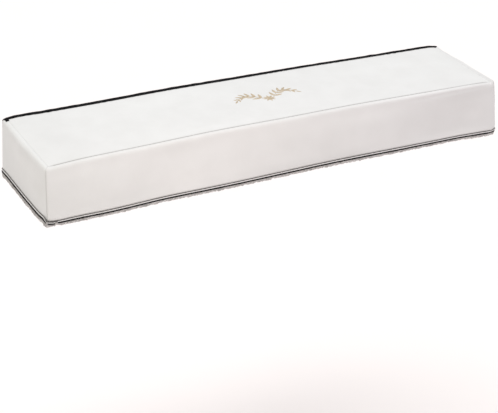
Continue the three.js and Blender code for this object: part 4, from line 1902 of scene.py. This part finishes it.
    def whipping(self, line: TrimLine) -> Piece:
        """Makes the pale strands that bind the lapped end of the braid.

        Args:
            line: The line round the hem.

        Returns:
            The strands, laid along it.
        """
        across = np.linspace(*self.whip_across, self.whip_steps)
        share = (across - across[0]) / (across[-1] - across[0])
        off = self.whip_off + self.whip_crown * np.sin(math.pi * share)
        strands = []
        for number, back in enumerate(self.whipped):
            along = line.length - back + self.whip_slant * (across - across[0])
            path = np.stack([along, across, off], axis=1)
            strands.append(yarn(f"whip_{number}", path, self.whip_radius, self.whip_sides))
        return line.wrap(joined("braid_whipping", strands))

    def stitches(self, line: TrimLine) -> Piece:
        """Makes the two rows of stitches that hold the braid.

        Args:
            line: The line round the hem.

        Returns:
            The stitches, laid along it.
        """
        rows = []
        for number, across in enumerate(self.stitch_rows):
            row = self.stitch.build(f"stitch_row_{number}", line.length)
            move_vertices(row, vertices_of(row) + (0, across, self.stitch_off))
            rows.append(row)
        return line.wrap(joined("braid_stitches", rows))

    def build(self) -> list[Piece]:
        """Builds and dresses the braid.

        Returns:
            Its pieces.
        """
        line = self.hem_line()
        tape = self.tape(line)
        made = [
            (self.gimp(line), BLACK_GIMP),
            (line.wrap(self.plait.build("braid_silver_plait", line.length)), SILVER_YARN),
            (line.wrap(self.cord.build("braid_grey_cord", line.length)), GREY_YARN),
            (self.picots(line), LOOP_YARN),
            (self.loops(line), LOOP_YARN),
            (self.whipping(line), LOOP_YARN),
            (self.stitches(line), GREY_THREAD),
        ]
        for piece, finish in made:
            dress(piece, finish)
        pieces = [tape, *(piece for piece, _ in made)]
        for piece in pieces:
            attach(piece, BODY)
        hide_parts("hem_braid")
        return pieces


@dataclass
class BandStitches:
    """The two rows of stitches along the black band."""

    places: Floats = (0.12, 0.34)
    off: float = 0.0002
    stitch: StitchRow = StitchRow(0.0040, 0.0028)

    def build(self, band: BlackBand) -> Piece:
        """Builds and dresses the stitches.

        Args:
            band: The band that they hold.

        Returns:
            The finished piece.
        """
        rows = []
        walk = FORM.walk(Side.BACK, band.step)
        straight = (walk.straight > 0)[:, 0]
        for number, turn in enumerate(self.places):
            out, up = FORM.rim(walk, turn)
            height = FORM.seam_height(walk.x, walk.y) + up + band.lifted(walk, np.hypot(out, up))
            base = walk.placed(out, height + self.off, np.zeros_like(out))[:, 0][straight]
            back, above = (np.broadcast_to(way, base.shape) for way in ((0.0, 1.0, 0.0), (0.0, 0.0, 1.0)))
            line = TrimLine(path_lengths(base), base, back, above)
            rows.append(line.wrap(self.stitch.build(f"band_row_{number}", line.length)))
        piece = joined("band_stitches", rows)
        dress(piece, BLACK_THREAD)
        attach(piece, BODY)
        return piece


# Embroidery


@dataclass(frozen=True)
class SatinLeaf:
    """A raised satin-stitched leaf or petal, flat on its back, with a soft rib down its middle."""

    steps_along: int = 11
    steps_across: int = 7
    thickness: float = 0.0007
    backing: float = 0.0005
    fullness: float = 0.8
    tip_width: float = 0.00012
    rib_depth: float = 0.35
    rib_width: float = 0.16
    rounding: float = 0.3
    sunk: float = 0.15
    thread_slant: float = 0.8

    def build(self, name: str, x: float, y: float, heading: float, length: float, width: float) -> Piece:
        """Builds one leaf.

        Args:
            name: The leaf's name.
            x: Where it is rooted.
            y: Where it is rooted.
            heading: Which way it points.
            length: Its length.
            width: Its width.

        Returns:
            The leaf.
        """
        along = np.linspace(0, 1, self.steps_along)[:, None]
        across = np.linspace(-1, 1, self.steps_across)[None]
        outline = np.sin(math.pi * along**self.fullness) ** self.fullness
        out = along * length + 0 * across
        side = (width / 2 * outline + self.tip_width) * across
        rib = 1 - self.rib_depth * bell(across, self.rib_width)
        crown = np.sqrt(np.clip(1 - across**2, 0, 1)) * rib * np.sin(math.pi * along) ** self.rounding
        px = x + out * math.cos(heading) - side * math.sin(heading)
        py = y + out * math.sin(heading) + side * math.cos(heading)
        cut = np.stack([out + np.abs(side) * self.thread_slant, side], axis=-1)
        piece = placed_grid(name, np.stack([px, py, self.thickness * (crown - self.sunk)], axis=-1), cut)
        apply_modifier(piece, "SOLIDIFY", thickness=self.backing, offset=-1)
        return piece


@dataclass
class LeafSpray:
    """Satin-stitched leaves on two stems, either side of a small rosette."""

    centre: Pair = (0.028, -0.002)
    half_width: float = 0.088
    rise: float = 0.036
    sunk: float = 0.35
    sweep: float = 0.85
    stem_gap: float = 0.012
    stem_steps: int = 25
    stem_radius: float = 0.00065
    stem_sides: int = 6
    stem_off: float = 0.0002
    leaf: SatinLeaf = SatinLeaf()
    leaf_pairs: int = 6
    leaf_start: float = 0.6
    leaf_end: float = 0.2
    leaf_length: float = 0.027
    leaf_width: float = 0.0088
    root_size: float = 1.05
    shorter: float = 0.45
    narrower: float = 0.4
    root_lean: float = math.radians(46)
    closer: float = math.radians(10)
    tip_size: Pair = (0.7, 0.6)
    petal_count: int = 8
    petal_root: float = 0.0022
    petal_size: Pair = (0.016, 0.0068)
    knot_size: Triple = (0.0034, 0.0034, 0.0011)
    knot_off: float = 0.0003
    knot_faces: tuple[int, int] = (12, 8)
    off_seam: float = 0.1

    def stem_point(self, sign: int, share: float) -> Triple:
        """Reads a stem.

        Args:
            sign: -1 for the left stem and 1 for the right.
            share: The share of the way along it.

        Returns:
            The place on the top, and the heading of the stem there.
        """
        run, angle = self.half_width - self.stem_gap, share * math.pi * self.sweep
        x = sign * (self.stem_gap + run * share)
        y = self.rise * (math.sin(angle) - self.sunk)
        slope = self.rise * math.pi * self.sweep * math.cos(angle) / run
        return self.centre[0] + x, self.centre[1] + y, math.atan2(slope, sign)

    def rosette_centre(self) -> Pair:
        """Returns the middle of the rosette."""
        return self.centre[0], self.centre[1] - self.sunk * self.rise

    def on_top(self, piece: Piece, top: TopPanel) -> Piece:
        """Lays a flat piece on the top.

        Args:
            piece: The piece.
            top: The panel that it lies on.

        Returns:
            The same piece.
        """
        points = vertices_of(piece)
        away = np.full(len(points), self.off_seam)
        points[:, 2] += top.height(points[:, 0], points[:, 1], away)
        move_vertices(piece, points)
        return piece

    def knot(self) -> Piece:
        """Makes the round knot in the middle of the rosette."""
        place = Matrix.Translation((*self.rosette_centre(), self.knot_off))
        return ball("rosette_knot", *self.knot_faces, place @ Matrix.Diagonal((*self.knot_size, 1)))

    def branch(self, sign: int) -> list[Piece]:
        """Makes a stem and its leaves.

        Args:
            sign: -1 for the left stem and 1 for the right.

        Returns:
            Its parts.
        """
        places = [self.stem_point(sign, share) for share in np.linspace(0, 1, self.stem_steps)]
        path = np.array([(x, y, self.stem_off) for x, y, _ in places])
        parts = [yarn(f"stem_{sign}", path, self.stem_radius, self.stem_sides)]
        for number in range(self.leaf_pairs):
            share = (number + self.leaf_start) / (self.leaf_pairs + self.leaf_end)
            x, y, heading = self.stem_point(sign, share)
            length = self.leaf_length * (self.root_size - self.shorter * share)
            width = self.leaf_width * (self.root_size - self.narrower * share)
            for lean in (-1, 1):
                turn = heading + lean * (self.root_lean - self.closer * share)
                parts.append(self.leaf.build(f"leaf_{sign}_{number}_{lean}", x, y, turn, length, width))
        length, width = self.leaf_length * self.tip_size[0], self.leaf_width * self.tip_size[1]
        parts.append(self.leaf.build(f"tip_{sign}", *self.stem_point(sign, 1), length, width))
        return parts

    def build(self, top: TopPanel) -> Piece:
        """Builds and dresses the embroidery.

        Args:
            top: The panel that it is stitched on.

        Returns:
            The finished piece.
        """
        parts = self.branch(-1) + self.branch(1)
        middle = self.rosette_centre()
        for number in range(self.petal_count):
            heading = math.tau * number / self.petal_count
            x = middle[0] + self.petal_root * math.cos(heading)
            y = middle[1] + self.petal_root * math.sin(heading)
            parts.append(self.leaf.build(f"petal_{number}", x, y, heading, *self.petal_size))
        parts.append(self.knot())
        piece = self.on_top(joined("leaf_embroidery", parts), top)
        dress(piece, GOLD_THREAD)
        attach(piece, BODY)
        return piece


# Studio


@dataclass(frozen=True)
class Lamp:
    """A square soft light that faces the cover: its place, size in metres, power in watts, colour."""

    name: str
    place: Triple
    size: float
    power: float
    colour: Triple

    def build(self) -> None:
        """Adds the light."""
        data = bpy.data.lights.new(self.name, "AREA")
        data.size, data.energy, data.color = self.size, self.power, self.colour
        lamp = bpy.data.objects.new(self.name, data)
        bpy.context.scene.collection.objects.link(lamp)
        lamp.location = self.place
        lamp.rotation_euler = (-Vector(self.place)).to_track_quat("-Z", "Y").to_euler()
        lamp.visible_camera = False


@dataclass
class Studio:
    """The pale floor, the soft light and the camera."""

    floor_height: float = -1.20
    floor_size: float = 40
    floor_colour: Triple = (0.98, 0.93, 0.92)
    floor_shade: float = 0.985
    floor_grain: float = 3.0
    floor_roughness: float = 0.95
    sky: float = 0.515
    overhead: float = 1.84
    overhead_spread: float = math.radians(50)
    lamps: tuple[Lamp, ...] = (
        Lamp("front_fill", (-0.30, -0.75, 0.10), 0.4, 0.90, (1.0, 0.85, 0.79)),
        Lamp("end_fill", (-1.5, -0.6, 0.20), 0.6, 0.78, (1.0, 0.84, 0.42)),
        Lamp("side_fill", (0.62, -0.75, 0.10), 0.4, 0.20, (1.0, 0.45, 0.72)),
    )
    target: Triple = (-0.0223, 0.0, -0.3163)
    position: Triple = (-2.0770, -3.8610, 1.7119)
    lens: float = 126.2
    sensor: float = 36.0
    roll: float = math.radians(0.77)

    def camera(self) -> None:
        """Adds the camera at the photograph's viewing angle."""
        data = bpy.data.cameras.new("camera")
        data.lens, data.sensor_width, data.sensor_fit = self.lens, self.sensor, "HORIZONTAL"
        camera = bpy.data.objects.new("camera", data)
        bpy.context.scene.collection.objects.link(camera)
        camera.location = self.position
        look = (Vector(self.target) - Vector(self.position)).to_track_quat("-Z", "Y").to_matrix().to_4x4()
        camera.rotation_euler = (look @ Matrix.Rotation(self.roll, 4, "Z")).to_euler()
        bpy.context.scene.camera = camera

    def floor(self) -> None:
        """Adds the floor, far enough below for the cover to hang free."""
        bpy.ops.object.select_all(action="DESELECT")
        bpy.ops.mesh.primitive_plane_add(size=self.floor_size, location=(0, 0, self.floor_height))
        floor = bpy.context.object
        floor.name = "studio_floor"
        material = bpy.data.materials.new("studio_floor")
        material.use_nodes = True
        bench = Bench(material.node_tree)
        shader = material.node_tree.nodes["Principled BSDF"]
        place = bench.add("ShaderNodeTexCoord")
        grain = bench.noise(place.outputs["Object"], self.floor_grain, 3.0)
        shade = tuple(value * self.floor_shade for value in self.floor_colour)
        colour = bench.blend(grain, (*shade, 1.0), (*self.floor_colour, 1.0))
        bench.tree.links.new(colour, shader.inputs["Base Color"])
        shader.inputs["Roughness"].default_value = self.floor_roughness
        floor.data.materials.append(material)

    def light(self) -> None:
        """Adds the sky, the soft overhead light and the lamps."""
        scene = bpy.context.scene
        scene.world = bpy.data.worlds.new("studio_sky")
        scene.world.use_nodes = True
        background = scene.world.node_tree.nodes["Background"]
        background.inputs["Color"].default_value = (1.0, 1.0, 1.0, 1.0)
        background.inputs["Strength"].default_value = self.sky
        sun = bpy.data.lights.new("overhead", "SUN")
        sun.energy, sun.angle = self.overhead, self.overhead_spread
        scene.collection.objects.link(bpy.data.objects.new("overhead", sun))
        for lamp in self.lamps:
            lamp.build()

    def build(self) -> None:
        """Builds the whole studio."""
        bpy.context.scene.view_settings.view_transform = "Standard"
        self.floor()
        self.light()
        self.camera()


def main() -> None:
    """Builds the cover piece by piece, and then the studio."""
    logging.basicConfig(level=logging.INFO, format="%(name)s: %(message)s")
    top, band = TopPanel(), BlackBand()
    made = [top.build()]
    made += [panel.build() for panel in (FrontPanel(), RightEndPanel(), BackPanel(), LeftEndPanel())]
    made += [band.build(), BandStitches().build(band)]
    made += HemBraid().build()
    made.append(LeafSpray().build(top))
    for piece in made:
        LOG.info("%s: %d faces", piece.name, len(piece.data.polygons))
    Studio().build()


if __name__ == "__main__":
    main()
